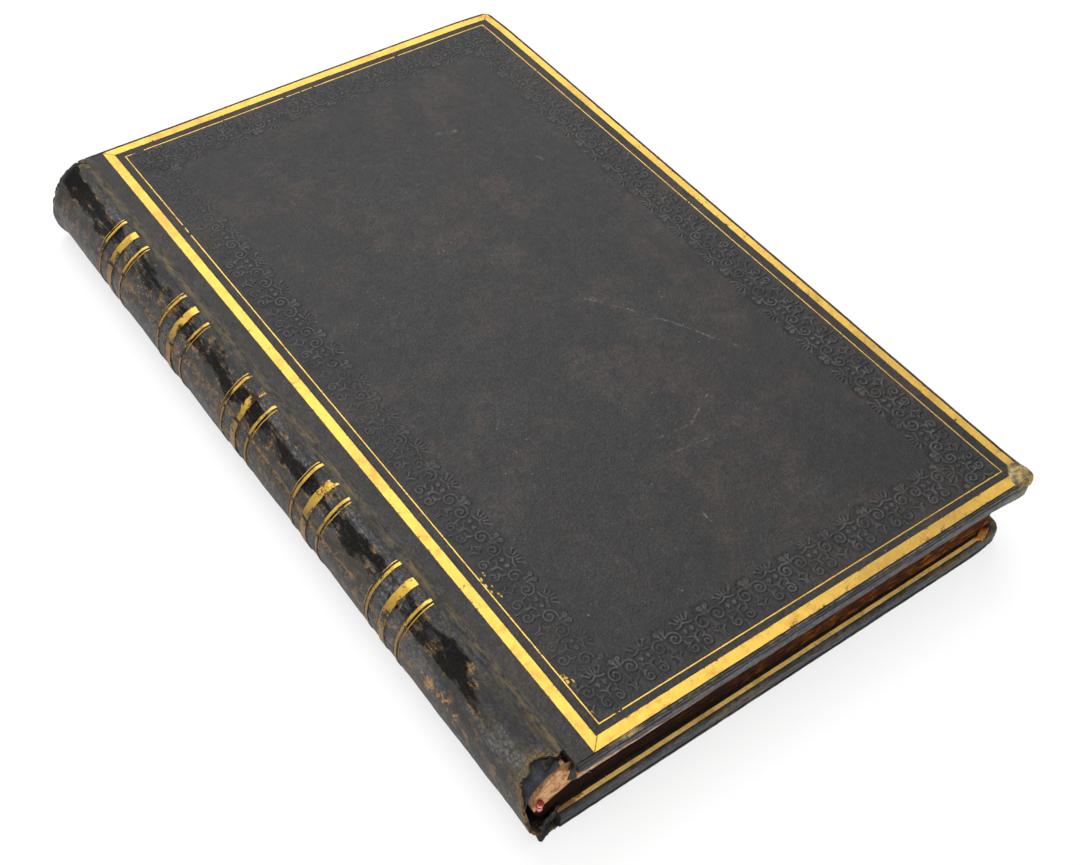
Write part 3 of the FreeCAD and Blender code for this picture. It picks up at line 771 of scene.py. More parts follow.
def make_board(side):
    """The pulpboard inside a cover, bent and crushed with it."""
    high, low = -BOARD_COVERING, -COVER_T + BOARD_COVERING
    rows = [(BOARD_RIM, high), (BOARD_COVERING, high), (BOARD_COVERING, low), (BOARD_RIM, low)]
    path = rim_path(4.0)
    core = Skin(side)
    for inset, height in rows:
        for station in path:
            x, y = inset_point(station, inset)
            core.add(max(x, 1.0), y, height)
    core.faces += grid_faces(len(rows), len(path))
    xs, ys = stations(1.0, COVER_W - BOARD_RIM, 12.0), stations(TAIL + BOARD_RIM, HEAD - BOARD_RIM, 12.0)
    core.patch(xs, ys, high)
    core.patch(xs, ys, low, flip=True)
    board = add_mesh(f"{side}_board_core", core.points, core.faces, [MATERIALS["board"]], smooth=False)
    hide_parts(f"{side}_board")
    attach(board, f"{side}_cover")


INNER_INSET = 1.6
INNER_W = 1.4


def make_inner_gilt(side):
    """The gilt line round the inner margin, worn near the joint and gone at the back cover's corner."""
    points, faces, wear, dull = [], [], [], []
    path = rim_path(1.5)
    lanes = (INNER_INSET, INNER_INSET + INNER_W / 2, INNER_INSET + INNER_W)
    end = CRUSHED_END[side]
    for inset in lanes:
        for station in path:
            x, y = inset_point(station, inset)
            ragged = 0.08 * ripple(x, y, inset, 2.0, 3.1)
            points.append(on_cover(side, x - station[2] * ragged, y - station[3] * ragged,
                                   -COVER_T + INNER_RECESS - 0.03))
            wear.append(min(1.0, max(0.0, 1.4 - x / 9.0) + 0.5 * corner_share(x, y, end, 12.0)))
            dull.append(0.25 * corner_share(x, y, end, 20.0))
    for quad in grid_faces(len(lanes), len(path), flip=True):
        station = path[quad[0] % len(path)]
        if side == "front" or corner_share(station[0], station[1], end, 9.0) < 0.62:
            faces.append(quad)
    line = add_mesh(f"{side}_inner_leaf", points, faces, [MATERIALS["inner_gilt"]],
                    attributes={"wear": wear, "dull": dull})
    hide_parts(f"{side}_inner_gilt")
    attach(line, f"{side}_cover")


def make_corner_lump():
    """Bunched leather and gold leaf on the front cover's crushed corner."""
    points, faces = [], []
    around, rings, reach = 24, 7, 5.6
    centre = (COVER_W - 2.6, TAIL + 2.6)
    for ring in range(rings):
        share = ring / (rings - 1)
        for k in range(around):
            turn = 2 * math.pi * k / around
            radius = reach * share * (1.0 + 0.55 * ripple(math.cos(turn), math.sin(turn), 0.0, 0.7, 6.1))
            x, y = centre[0] + radius * math.cos(turn), centre[1] + radius * math.sin(turn)
            hub_x, hub_y = min(x, COVER_W - CORNER_R), max(y, TAIL + CORNER_R)
            out = math.hypot(x - hub_x, y - hub_y)
            if out > CORNER_R + 0.25:
                x = hub_x + (x - hub_x) * (CORNER_R + 0.25) / out
                y = hub_y + (y - hub_y) * (CORNER_R + 0.25) / out
            bulge = 0.75 * (1.0 - share ** 2) + 0.35 * ripple(x, y, 0.0, 2.2, 8.3) * (1.0 - share)
            over = max(0.0, out - CORNER_R + 0.7)
            spot = on_cover("front", x, y, max(-3.4, bulge - 0.12 * share - 1.0 * over))
            points.append((spot[0], spot[1], min(spot[2], BOOK_T + 0.8)))
    faces += grid_faces(rings, around, 0, close=True)
    lump = add_mesh("corner_lump", points, faces, [MATERIALS["lump"]])
    weld(lump, 0.02)
    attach(lump, "front_cover")


def inner_corners(skin, z, rim_inset):
    """Fans that fill the rounded corners of the turned-in margin."""
    radius = CORNER_R - rim_inset
    for sign in (-1, 1):
        centre = (COVER_W - rim_inset - CORNER_R, sign * (HALF_H - rim_inset - CORNER_R))
        offset = len(skin.points)
        outline = [(0.0, 0.0), (CORNER_R, 0.0)]
        arc_x, arc_y = COVER_W - CORNER_R - centre[0], sign * (HALF_H - CORNER_R) - centre[1]
        for angle in np.linspace(0, 90, 9):
            turn = math.radians(angle)
            outline.append((arc_x + radius * math.cos(turn), arc_y + sign * radius * math.sin(turn)))
        outline.append((0.0, sign * CORNER_R))
        for x, y in outline:
            skin.add(centre[0] + x, centre[1] + y, z, wear=0.3)
        face = tuple(range(offset, offset + len(outline)))
        skin.faces.append(face[::-1] if sign > 0 else face)


def joint_edge(skin, inner_z, ys):
    """The cover's edge face beside its joint."""
    offset = len(skin.points)
    for z in (0.0, inner_z):
        for y in ys:
            skin.add(JOINT_START, y, z, stain=0.6)
    skin.faces += grid_faces(2, len(ys), offset)


def mark_sharp(obj, degrees=38.0):
    """Shades smooth, apart from edges that turn by more than an angle."""
    obj.data.set_sharp_from_angle(angle=math.radians(degrees))


# Blind roll: raised strokes in a slightly sunk band, repeated along the four sides

def spiral(centre, outer, inner, start, turns, side=1):
    """A volute that winds in from its outer radius. side is 1 or -1 for its direction."""
    count = int(abs(turns) * 26)
    path = []
    for k in range(count + 1):
        share = k / count
        radius = outer + (inner - outer) * share ** 0.8
        angle = math.radians(start) + side * share * turns * 2 * math.pi
        path.append((centre[0] + radius * math.cos(angle), centre[1] + radius * math.sin(angle)))
    return path


def stroke(start, end, bow=0.0):
    """A short stroke between two points, bowed to its left by a distance."""
    (ax, ay), (bx, by) = start, end
    length = math.hypot(bx - ax, by - ay)
    count = max(3, int(length / 0.4))
    path = []
    for k in range(count + 1):
        share = k / count
        lift = bow * math.sin(math.pi * share)
        path.append((ax + (bx - ax) * share - (by - ay) / length * lift,
                     ay + (by - ay) * share + (bx - ax) / length * lift))
    return path


def mirrored(path, about):
    return [(2 * about - x, y) for x, y in path]


def roll_motif():
    """One repeat of the roll: facing scrolls, a heart of small volutes, a crown and a fan of petals."""
    half = ROLL_PITCH / 2
    left = [
        spiral((3.1, 9.2), 2.9, 0.6, 140, 1.45, -1),
        spiral((half - 2.6, 3.4), 2.1, 0.5, 80, 1.3, 1),
        stroke((half - 2.5, 5.5), (5.2, 7.3), 0.6),
        stroke((half - 0.35, 4.9), (half - 1.9, 7.6), -0.9),
        spiral((half - 1.5, 9.6), 0.75, 0.25, 270, 0.9, 1),
        stroke((half - 3.2, 11.6), (half, 12.6), -0.35),
        stroke((half - 0.9, 13.3), (half - 1.5, 15.0)),
        stroke((half - 1.8, 13.0), (half - 3.1, 14.3)),
        spiral((1.4, 13.5), 1.05, 0.3, 250, 0.95, -1),
        stroke((0.7, 12.6), (0.5, 11.3), 0.15),
        stroke((0.4, 2.0), (1.8, 4.6), 0.6),
        stroke((1.2, 5.4), (0.3, 7.0), 0.4),
    ]
    right = [mirrored(path, half) for path in left]
    middle = [
        stroke((half, 13.4), (half, 15.3)),
        stroke((half, 1.0), (half, 2.2)),
    ]
    return left + right + middle


# Height of the leather at a distance from a stroke's middle: a raised line between two sunk flanks
STROKE_SECTION = [(0.0, 0.20), (0.30, 0.12), (0.54, -0.22), (0.90, -0.14), (1.6, 0.0)]
FLANKS = (0.0, 0.30, 0.54, 0.90)


def roll_tile(paths):
    """Points and triangles of one repeat of the roll, with the relief of its strokes."""
    lines = np.array([point for path in paths for point in path])
    wanted = [(0.0, 0.0), (ROLL_PITCH, 0.0), (0.0, ROLL_W), (ROLL_PITCH, ROLL_W)]
    for path in paths:
        for k in range(len(path)):
            ax, ay = path[max(k - 1, 0)]
            bx, by = path[min(k + 1, len(path) - 1)]
            length = math.hypot(bx - ax, by - ay) or 1.0
            for flank in FLANKS:
                for sign in ((1,) if flank == 0.0 else (1, -1)):
                    wanted.append((path[k][0] - (by - ay) / length * flank * sign,
                                   path[k][1] + (bx - ax) / length * flank * sign))
    for x in np.linspace(0, ROLL_PITCH, 13):
        for y in np.linspace(0, ROLL_W, 11):
            wanted.append((x, y))
    kept = []
    taken = {}
    spacing = 0.17
    for x, y in wanted:
        if not (0 <= x <= ROLL_PITCH and 0 <= y <= ROLL_W):
            continue
        cell = (int(x / spacing), int(y / spacing))
        near = any((cell[0] + i, cell[1] + j) in taken and
                   math.dist(taken[(cell[0] + i, cell[1] + j)], (x, y)) < spacing
                   for i in (-1, 0, 1) for j in (-1, 0, 1))
        if not near:
            taken[cell] = (x, y)
            kept.append((x, y))
    flat, _, triangles, _, _, _ = delaunay_2d_cdt([Vector(p) for p in kept], [], [], 0, 1e-5)
    spots = np.array([(p.x, p.y) for p in flat])
    reach = np.array([np.min(np.hypot(*(lines - spot).T)) for spot in spots])
    distances, heights = zip(*STROKE_SECTION)
    relief = np.interp(reach, distances, heights)
    border = np.minimum.reduce([spots[:, 0], ROLL_PITCH - spots[:, 0], spots[:, 1], ROLL_W - spots[:, 1]])
    relief = relief * np.clip(border / 0.4, 0, 1)
    return spots, relief, [tuple(t) for t in triangles]


def make_blind_roll(side):
    """The four sides of the roll and its corners, as pressed into the front cover."""
    left = JOINT_MARGIN + ROLL_INSET - EDGE_MARGIN
    right = COVER_W - ROLL_INSET
    half = HALF_H - ROLL_INSET
    corners = [(left, -half), (right, -half), (right, half), (left, half)]
    spots, relief, triangles = roll_tile(roll_motif())
    skin = Skin(side)

    def lay(origin, along, stretch, fade):
        """One tile, with its gilt side on the roll's outer edge."""
        across = (-along[1], along[0])
        offset = len(skin.points)
        for (u, v), h in zip(spots, relief):
            u = u * stretch
            x = origin[0] + along[0] * u + across[0] * v
            y = origin[1] + along[1] * u + across[1] * v
            # The relief also colours the roll: painted highlight on the strokes' tops and painted shade in
            # their sunk flanks.
            skin.add(x, y, h * fade, relief=h * fade)
        skin.faces.extend(tuple(offset + k for k in triangle) for triangle in triangles)

    for k, start in enumerate(corners):
        end = corners[(k + 1) % 4]
        length = math.dist(start, end)
        along = ((end[0] - start[0]) / length, (end[1] - start[1]) / length)
        room = length - 2 * ROLL_W
        count = round(room / ROLL_PITCH)
        stretch = room / (count * ROLL_PITCH)
        for n in range(count):
            run = ROLL_W + n * ROLL_PITCH * stretch
            origin = (start[0] + along[0] * run, start[1] + along[1] * run)
            worn = 0.75 + 0.45 * ripple(origin[0], origin[1], 0.0, 60.0, 5.5)
            lay(origin, along, stretch, worn)
        lay(start, along, ROLL_W / ROLL_PITCH, 0.9)
    roll = add_mesh(f"{side}_blind_roll", skin.points, skin.faces, [MATERIALS["front_leather"]],
                    attributes=skin.values)
    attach(roll, f"{side}_cover")


# Gilding on the covers

def gilt_ring(side, name, inset, width, lanes, gap_share, replaces):
    """A strip of gold leaf round the cover, with ragged edges and places where it has rubbed away."""
    points, faces, wear = [], [], []
    share_step = np.linspace(0, 1, lanes + 1)
    rings = [ring_points_fine(inset + width * share, share * (width > 1.0)) for share in share_step]
    count = len(rings[0])
    for lane, ring in enumerate(rings):
        for x, y in ring:
            at_edge = lane in (0, lanes)
            shift = LEAF_RAGGED * ripple(x, y, lane * 9.0, 1.6, 1.3) if at_edge else 0.0
            points.append(on_cover(side, x + shift, y + shift, LEAF_LEVEL))
            crushed = corner_share(x, y, CRUSHED_END[side], 7.0)
            wear.append(min(1.0, (0.25 if at_edge else 0.0) + 1.2 * crushed))
    for quad in grid_faces(lanes + 1, count, 0, close=True):
        x, y, _ = points[quad[0]]
        broken = 0.5 + 0.5 * ripple(x, y, 0.0, 5.0, 8.8) + 0.25 * ripple(x, y, 0.0, 1.2, 6.1)
        if broken > gap_share * (1.0 + max(0.0, y / HEAD)):
            faces.append(quad)
    dull = [min(0.6, 0.35 * max(0.0, ripple(x, y, 0.0, 30.0, 6.6))
                + 0.32 * clamp((x - y * 0.6) / 150.0)) for x, y, _ in points]
    ring_leaf = add_mesh(f"{side}_{name}_leaf", points, faces, [MATERIALS["gilt"]],
                         attributes={"wear": wear, "dull": dull})
    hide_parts(replaces)
    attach(ring_leaf, f"{side}_cover")


def make_stray_leaf():
    """Flecks of leaf that slipped inside the thin gilt line, on its joint side near the tail."""
    rng = np.random.default_rng(5)
    x0 = JOINT_MARGIN + LINE_INSET + LINE_W
    points, faces = [], []
    for _ in range(46):
        y = TAIL + 12.0 + 62.0 * rng.random()
        if ripple(0.0, y, 0.0, 11.0, 4.3) < 0.0:
            continue
        x = x0 + 0.3 + 1.9 * rng.random() ** 1.6
        reach, turn = 0.25 + 0.45 * rng.random(), math.pi * rng.random()
        offset = len(points)
        corners = 7
        for k in range(corners):
            angle = turn + 2 * math.pi * k / corners
            radius = reach * (0.6 + 0.6 * rng.random())
            points.append(on_cover("front", x + 0.8 * radius * math.cos(angle),
                                   y + 1.7 * radius * math.sin(angle), 0.035))
        faces.append(tuple(range(offset, offset + corners)))
    flecks = add_mesh("stray_leaf", points, faces, [MATERIALS["worn_gilt"]],
                      attributes={"wear": [0.3] * len(points), "dull": [0.35] * len(points)})
    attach(flecks, "front_cover")


# How much narrower than the tail strip the frame's leaf is on its other sides
FORE_TRIM = 0.9
JOINT_TRIM = 0.4
HEAD_TRIM = 0.4


def ring_points_fine(inset, trim):
    """As ring_points, finely spaced for ragged edges, with sides that narrow by a share of their trims."""
    left = JOINT_MARGIN + inset - EDGE_MARGIN - JOINT_TRIM * trim
    right = COVER_W - inset + FORE_TRIM * trim
    low = TAIL + inset
    top = HEAD - inset + HEAD_TRIM * trim
    across, along = 240, 420
    ring = [(x, low) for x in np.linspace(left, right, across)[:-1]]
    ring += [(right, y) for y in np.linspace(low, top, along)[:-1]]
    ring += [(x, top) for x in np.linspace(right, left, across)[:-1]]
    ring += [(left, y) for y in np.linspace(top, low, along)[:-1]]
    return ring


# Spine

FRONT_PULL = 19.5
BACK_PULL = 18.5
JOINT_STEP = 0.35
SPINE_T = 1.0
SPINE_GAP = 0.6
BAND_FIRST = 52.0
BAND_PITCH = 47.75
BAND_W = 3.6
BAND_LINE_OFFSET = 8.5
BAND_LINE_W = 1.2
BAND_CENTRES = [HEAD - BAND_FIRST - n * BAND_PITCH for n in range(5)]


def spine_profile(count):
    """Evenly spaced points and outward directions of the spine's section, from front to back joint."""
    poles = np.array([
        (FRONT_X - SPINE_GAP, BOOK_T - JOINT_STEP),
        (FRONT_X - FRONT_PULL, BOOK_T - JOINT_STEP),
        (BACK_X - BACK_PULL, JOINT_STEP),
        (BACK_X - SPINE_GAP, JOINT_STEP),
    ])
    fine = np.linspace(0, 1, 600)[:, None]
    curve = ((1 - fine) ** 3 * poles[0] + 3 * (1 - fine) ** 2 * fine * poles[1]
             + 3 * (1 - fine) * fine ** 2 * poles[2] + fine ** 3 * poles[3])
    steps = np.hypot(*np.diff(curve, axis=0).T)
    run = np.concatenate([[0], np.cumsum(steps)])
    even = np.linspace(0, run[-1], count)
    spots = np.stack([np.interp(even, run, curve[:, k]) for k in (0, 1)], 1)
    along = np.gradient(spots, axis=0)
    along /= np.hypot(*along.T)[:, None]
    outward = np.stack([along[:, 1], -along[:, 0]], 1)
    return spots, outward, even


def tear_line(run):
    """How much leather is lost at the tail, by the distance round the spine from the front joint."""
    shape_run = (0.0, 2.0, 5.5, 9.0, 14.0, 18.0, 22.0, 25.0, 30.0)
    shape_loss = (7.2, 7.0, 8.8, 9.6, 8.8, 6.8, 4.4, 1.4, 0.4)
    return float(np.interp(run, shape_run, shape_loss))


def spine_colours(run, y, from_tail, from_head):
    """Shares, from 0 to 1, of the spine's kinds of wear at one place."""
    strip_run = run + 2.2 * ripple(run * 0.4, y, 0.0, 9.0, 3.4) + 1.0 * ripple(run, y, 0.0, 3.2, 6.8)
    flaked = math.exp(-((strip_run - 8.8) / 5.6) ** 4)
    flaked *= clamp(from_tail / 40.0) * 0.6 + 0.4
    flaked *= 1.0 + 0.12 * bell(from_head, 0.0, 34.0)
    cap = 1.3 * bell(from_head, 0.0, 5.0)
    on_crack = 1.0 if crack_share(crack_run(y), y) > 0.3 else 0.0
    low = BAND_CENTRES[4]
    scuff = bell(run, 20.5, 2.4) * math.exp(-((y - low + 32.0) / 9.0) ** 2)
    title = bell(run, 14.0, 3.4) * math.exp(-((y - BAND_CENTRES[0] + 23.0) / 8.0) ** 2)
    trail = 0.60 * bell(run, 18.5, 2.6) * (1.0 if low < y < BAND_CENTRES[1] else 0.0)
    return {
        "edge": min(1.0, 1.3 * bell(from_tail, 0.0, 2.4)),
        "flaked": 0.5 * min(1.3, max(flaked, cap)),
        "crack": max(0.0, 1.0 - abs(run - crack_run(y)) / 1.2) * on_crack,
        "scuff": min(1.0, 1.5 * scuff + 0.35 * bell(run, 22.0, 6.0)),
        "stain": max(bell(run, 0.6, 2.0), 0.20),
        "flecks": min(1.0, title + trail),
    }


def tail_slump(run, y, length):
    """How far the empty spine has sunk inwards on its lower side, towards the tail."""
    low_side = bell(run / length, 0.64, 0.20)
    return 1.0 * low_side * clamp((HEAD - 60.0 - y) / 160.0)


def spine_ends(run):
    """The tail and head ends of the leather at a distance round the spine."""
    ragged = 1.3 * ripple(run, 0.0, 0.0, 2.6, 1.9) + 0.9 * ripple(run, 0.0, 0.0, 1.2, 4.9)
    frayed = 1.5 * abs(ripple(run, 0.0, 0.0, 3.0, 9.4)) + 0.8 * abs(ripple(run, 0.0, 0.0, 0.8, 2.4))
    notch = 1.9 * ripple(run, 0.0, 0.0, 5.2, 7.3)
    return TAIL + tear_line(run) + abs(ragged) * 1.3 + notch * min(1.0, tear_line(run) / 5.0), HEAD - frayed


def band_relief(y):
    """The raised fillets of the spine and the pressed edges beside them."""
    height = 0.0
    for centre in BAND_CENTRES:
        for offset, width, rise in ((0.0, BAND_W, 0.22), (-BAND_LINE_OFFSET, BAND_LINE_W, 0.16),
                                    (BAND_LINE_OFFSET, BAND_LINE_W, 0.16)):
            reach = abs(y - centre - offset)
            if reach < width / 2:
                height = max(height, rise)
            elif reach < width / 2 + 0.9:
                height = min(height, -0.16) if height <= 0 else height
    return height


def spine_relief(run, y, length):
    """How far the leather stands off the smooth section."""
    ends = min(run, length - run)
    shoulder = 0.50 * bell(run, 3.6, 2.8)
    calm = min(1.0, ends / 4.0)
    broad = 0.40 * ripple(run, y, 0.0, 22.0, 2.7) * calm
    small = (0.16 * ripple(run, y * 0.5, 0.0, 3.4, 6.3) + 0.08 * ripple(run, y * 0.5, 0.0, 1.3, 8.1)) * calm
    crack = -0.35 * crack_share(run, y)
    return shoulder + broad + small + band_relief(y) * calm + crack


def head_dent(run, y):
    """How far the spine is pressed in near its head."""
    return 1.5 * math.exp(-((y - HEAD + 14.0) / 8.0) ** 2) * bell(run, 13.0, 6.0)


def crack_run(y):
    """Where the lengthwise crack lies, as a distance round the spine."""
    return 17.5 + 2.4 * ripple(0.0, y, 0.0, 34.0, 3.7) + 0.9 * ripple(0.0, y, 0.0, 7.0, 5.1)


def crack_share(run, y):
    """1 in the lengthwise crack, which runs from the first band to the fourth."""
    reach = max(0.0, 1.0 - abs(run - crack_run(y)) / 0.9)
    along = clamp((BAND_CENTRES[0] + 14.0 - y) / 6.0)
    along *= clamp((y - BAND_CENTRES[4] - 10.0) / 20.0)
    return reach * along


def spine_rows(step, end_step, end_reach):
    """Shares of the way from tail to head, closer together near both ends."""
    tail_rows = np.arange(0, end_reach, end_step)
    body_rows = stations(end_reach, 2 * HALF_H - end_reach, step)
    head_rows = 2 * HALF_H - tail_rows[::-1]
    return np.concatenate([tail_rows, body_rows, head_rows]) / (2 * HALF_H)


def make_spine_skin():
    """The spine's leather, with its thickness, torn tail, frayed head, bands and crack."""
    spots, outward, runs = spine_profile(count=121)
    length = runs[-1]
    rows = spine_rows(0.85, 0.4, 12.0)
    kinds_of_wear = ("edge", "flaked", "crack", "scuff", "stain", "flecks")
    points, values = [], {key: [] for key in kinds_of_wear}
    for layer in (0.0, -SPINE_T):
        for share in rows:
            for (x, z), (nx, nz), run in zip(spots, outward, runs):
                tail, head = spine_ends(run)
                y = tail + (head - tail) * share
                from_tail, from_head = y - tail, head - y
                lift = spine_relief(run, y, length) if layer == 0.0 else 0.3 * spine_relief(run, y, length)
                curl = 0.5 * math.exp(-from_tail / 1.6) * min(1.0, tear_line(run) / 5.0, run / 3.0)
                roll_in = 0.5 * bell(from_head, 4.0, 2.5) - 0.8 * math.exp(-from_head / 1.2)
                low_side = bell(run / length, 0.70, 0.16)
                flare = 1.2 * low_side * bell(from_head, 0.0, 5.0)
                lift += curl + roll_in + flare + layer - tail_slump(run, y, length) - head_dent(run, y)
                height = min(BOOK_T + 0.5, max(0.15, z + nz * lift))
                points.append((x + nx * lift, y, height))
                for key, value in spine_colours(run, y, from_tail, from_head).items():
                    values[key].append(value)
    faces = slab_faces(len(rows), len(spots))
    both_layers = 2 * (len(rows) - 1) * (len(spots) - 1)
    kinds = [0] * both_layers + [1] * (len(faces) - both_layers)
    skin = add_mesh("spine_skin", points, faces, [MATERIALS["spine"], MATERIALS["fibre"]], kinds,
                    attributes=values)
    mark_sharp(skin, 50.0)
    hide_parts("spine_leather")
    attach(skin, "text_block")


def spine_strip(name, centres, width, replaced, start_run, rise=0.05):
    """Gilt fillets round the spine, which lie on its relief and go brown on its far side."""
    spots, outward, runs = spine_profile(count=121)
    length = runs[-1]
    points, faces, wear, dull = [], [], [], []
    lanes = 5
    for centre in centres:
        offset = len(points)
        start = start_run + 0.8 * ripple(0.0, centre, 0.0, 7.0, 1.2)
        for lane in range(lanes):
            y = centre + width * (lane / (lanes - 1) - 0.5) * 0.96
            for (x, z), (nx, nz), run in zip(spots, outward, runs):
                lift = spine_relief(run, centre, length) - tail_slump(run, centre, length) + rise
                lift -= head_dent(run, centre)
                ragged = 0.12 * ripple(run, y, centre, 1.4, 7.1) if lane in (0, lanes - 1) else 0.0
                points.append((x + nx * lift, y + ragged, z + nz * lift))
                patchy = max(0.0, ripple(run, y, centre, 5.0, 4.2))
                wear.append(min(1.0, 0.9 * patchy + crack_share(run, y) * 1.5))
                dull.append(clamp((run - 8.0) / 10.0) * 0.9)
        faces += [q for q in grid_faces(lanes, len(spots), offset)
                  if runs[(q[0] - offset) % len(spots)] >= start]
    strip = add_mesh(name, points, faces, [MATERIALS["worn_gilt"]], attributes={"wear": wear, "dull": dull})
    if replaced:
        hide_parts(replaced)
    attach(strip, "text_block")


THIN_LINE_OFFSET = 10.1
THIN_LINE_W = 0.35


def make_spine_gilding():
    """Each group has a wide fillet, a line on each side of it and a thin line outside each of those."""
    spine_strip("spine_fillet_leaf", BAND_CENTRES, BAND_W, "spine_fillets", 1.4)
    lines = [centre + side * BAND_LINE_OFFSET for centre in BAND_CENTRES for side in (-1, 1)]
    spine_strip("spine_line_leaf", lines, BAND_LINE_W, "spine_lines", 1.0)
    thin = [centre + side * THIN_LINE_OFFSET for centre in BAND_CENTRES for side in (-1, 1)]
    spine_strip("spine_thin_line_leaf", thin, THIN_LINE_W, None, 1.2)


def make_spine_liner():
    """The paper inside the spine, which shows dark blue-black in the torn tail."""
    spots, outward, runs = spine_profile(count=61)
    length = runs[-1]
    points = []
    ys = stations(TAIL + SQUARE + 0.4, HEAD - SQUARE - 0.4, 4.0)
    kept = [k for k in range(61) if 2.0 < runs[k] < length - 2.0]
    for inset in (1.15, 1.6):
        for y in ys:
            for k in kept:
                (x, z), (nx, nz), run = spots[k], outward[k], runs[k]
                lift = -inset - tail_slump(run, y, length) - head_dent(run, y)
                lift -= 0.25 * abs(ripple(run, y, 0.0, 6.0, 5.2))
                points.append((x + nx * lift, y, z + nz * lift))
    liner = add_mesh("spine_lining", points, slab_faces(len(ys), len(kept)), [MATERIALS["liner"]])
    mark_sharp(liner, 50.0)
    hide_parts("spine_liner")
    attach(liner, "text_block")


def make_joint_skin(side):
    """The fold of leather that joins a cover to the spine."""
    axis_x, level, up = (FRONT_X, BOOK_T, 1) if side == "front" else (BACK_X, 0.0, -1)
    section = [(-3.0, -0.10), (-2.2, 0.06), (-1.4, 0.06), (-0.7, -0.04),
               (0.0, -0.14), (0.7, -0.02), (1.4, 0.05), (2.6, -0.06)]
    depth = 0.35
    ys = stations(TAIL + (7.4 if side == "front" else 0.8), HEAD - 0.8, 1.0)
    points, wear = [], []
    for layer in (0.0, -depth):
        for y in ys:
            for x, z in section:
                wrinkle = 0.06 * ripple(x, y, layer, 3.0, 2.9)
                points.append((axis_x + x, y, level + up * (z + layer + wrinkle)))
                wear.append(max(0.0,
                                1.0 - abs(x + 0.6) / 2.3) * (0.75 + 0.5 * ripple(x, y, 0.0, 20.0, 1.1)))
    faces = slab_faces(len(ys), len(section), flip=up < 0)
    fold = add_mesh(f"{side}_joint_fold", points, faces, [joint_material(side)],
                    attributes={"wear": wear})
    mark_sharp(fold, 50.0)
    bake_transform(fold)


def joint_material(side):
    """Cracked leather along the fold, rubbed to green-brown."""
    shade = Shade(f"{side}_joint_leather")
    worn = shade.value_of("wear")
    fine = shade.noise(1.0, 4.0, 0.7)
    long_way = shade.stretch(1.0, 0.30, 1.0)
    mottle = shade.spots(2.0, 0.42, 0.60, 6.0, 0.75, where=long_way)
    color = shade.mix(DEEP_BLACK, FOLD_DARK, mottle)
    rubbed = shade.times(shade.spots(2.4, 0.46, 0.56, 7.0, 0.8, where=long_way), worn)
    color = shade.mix(color, shade.mix(OLIVE, OCHRE, fine), rubbed)
    normal = shade.bump(shade.noise(1.1, 6.0, 0.75, where=long_way), 0.5, 0.7)
    return shade.finish(color, 0.55, normal, Specular_IOR_Level=0.32)


def crumpled_scrap(name, centre, size, turn, body, seed, material="tatter"):
    """A small torn tatter, crumpled, with a ragged outline."""
    across, down = 9, 7
    points = []
    spin = Euler([math.radians(a) for a in turn], "XYZ").to_matrix()
    for layer in (0.0, -0.45):
        for r in range(down):
            for c in range(across):
                u, v = c / (across - 1) - 0.5, r / (down - 1) - 0.5
                ragged = 1.0 + 0.45 * ripple(u * 9, v * 9, 0.0, 3.0, seed)
                fold = 0.30 * min(size) * ripple(u * 6, v * 6, 1.0, 2.0, seed + 2.0)
                spot = spin @ Vector((u * size[0] * ragged, v * size[1] * ragged, fold + layer))
                points.append(tuple(Vector(centre) + spot))
    scrap = add_mesh(name, points, slab_faces(down, across), [MATERIALS[material]])
    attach(scrap, body)


def make_scraps():
    """Torn scraps at the tail, and a bare patch on the back cover's crushed corner."""
    tail = TAIL + 1.6
    crumpled_scrap("tatter_low", (BACK_X - 4.0, tail, 3.4), (6.5, 5.0), (70, 10, 15), "text_block", 1.5)
    crumpled_scrap("tatter_inner", (BACK_X - 0.5, tail + 0.6, 6.2), (6.0, 3.4), (80, -25, 5),
                   "text_block", 4.5)
    crumpled_scrap("tatter_high", (FRONT_X + 2.2, TAIL + 0.9, BOOK_T - 3.4), (7.0, 6.4), (80, 14, -8),
                   "front_cover", 7.5)
    crumpled_scrap("tatter_joint", (FRONT_X - 3.6, TAIL + 6.6, BOOK_T - 2.2), (7.5, 4.6), (64, 12, 10),
                   "text_block", 2.5)
    crumpled_scrap("flap_edge", (FRONT_X + 1.0, TAIL + 3.4, BOOK_T - 2.8), (8.0, 1.6), (64, 20, 4),
                   "front_cover", 3.1, "fibre")
    patch_at = on_cover("back", COVER_W - 9.0, HEAD - 2.5, -COVER_T - 0.25)
    crumpled_scrap("corner_patch", patch_at, (6.5, 2.4), (4, 0, 24), "back_cover", 6.6, "raw_patch")


def make_mitre_lines():
    """The fine diagonal where the strips of the gilt frame meet at each corner."""
    points, faces = [], []
    half_w = 0.09
    left, right = JOINT_MARGIN, COVER_W - EDGE_MARGIN
    for x, turn_x in ((left, 1), (right, -1)):
        for y, turn_y in ((TAIL + EDGE_MARGIN, 1), (HEAD - EDGE_MARGIN, -1)):
            offset = len(points)
            for share in (0.02, 0.5, 0.98):
                for side in (-1, 1):
                    px = x + turn_x * (FILLET_W * share + side * half_w)
                    py = y + turn_y * (FILLET_W * share - side * half_w)
                    points.append(on_cover("front", px, py, LEAF_LEVEL + 0.04))
            quads = [(0, 1, 3, 2), (2, 3, 5, 4)]
            for quad in quads:
                quad = tuple(offset + k for k in quad)
                faces.append(quad if turn_x * turn_y < 0 else quad[::-1])
    lines = add_mesh("mitre_lines", points, faces, [MATERIALS["fibre"]])
    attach(lines, "front_cover")


# Pages

PAGE_GAP = 0.3
SQUARE = 4.0
SHOULDER_BACK = 0.8
SHOULDER_DEPTH = 3.2


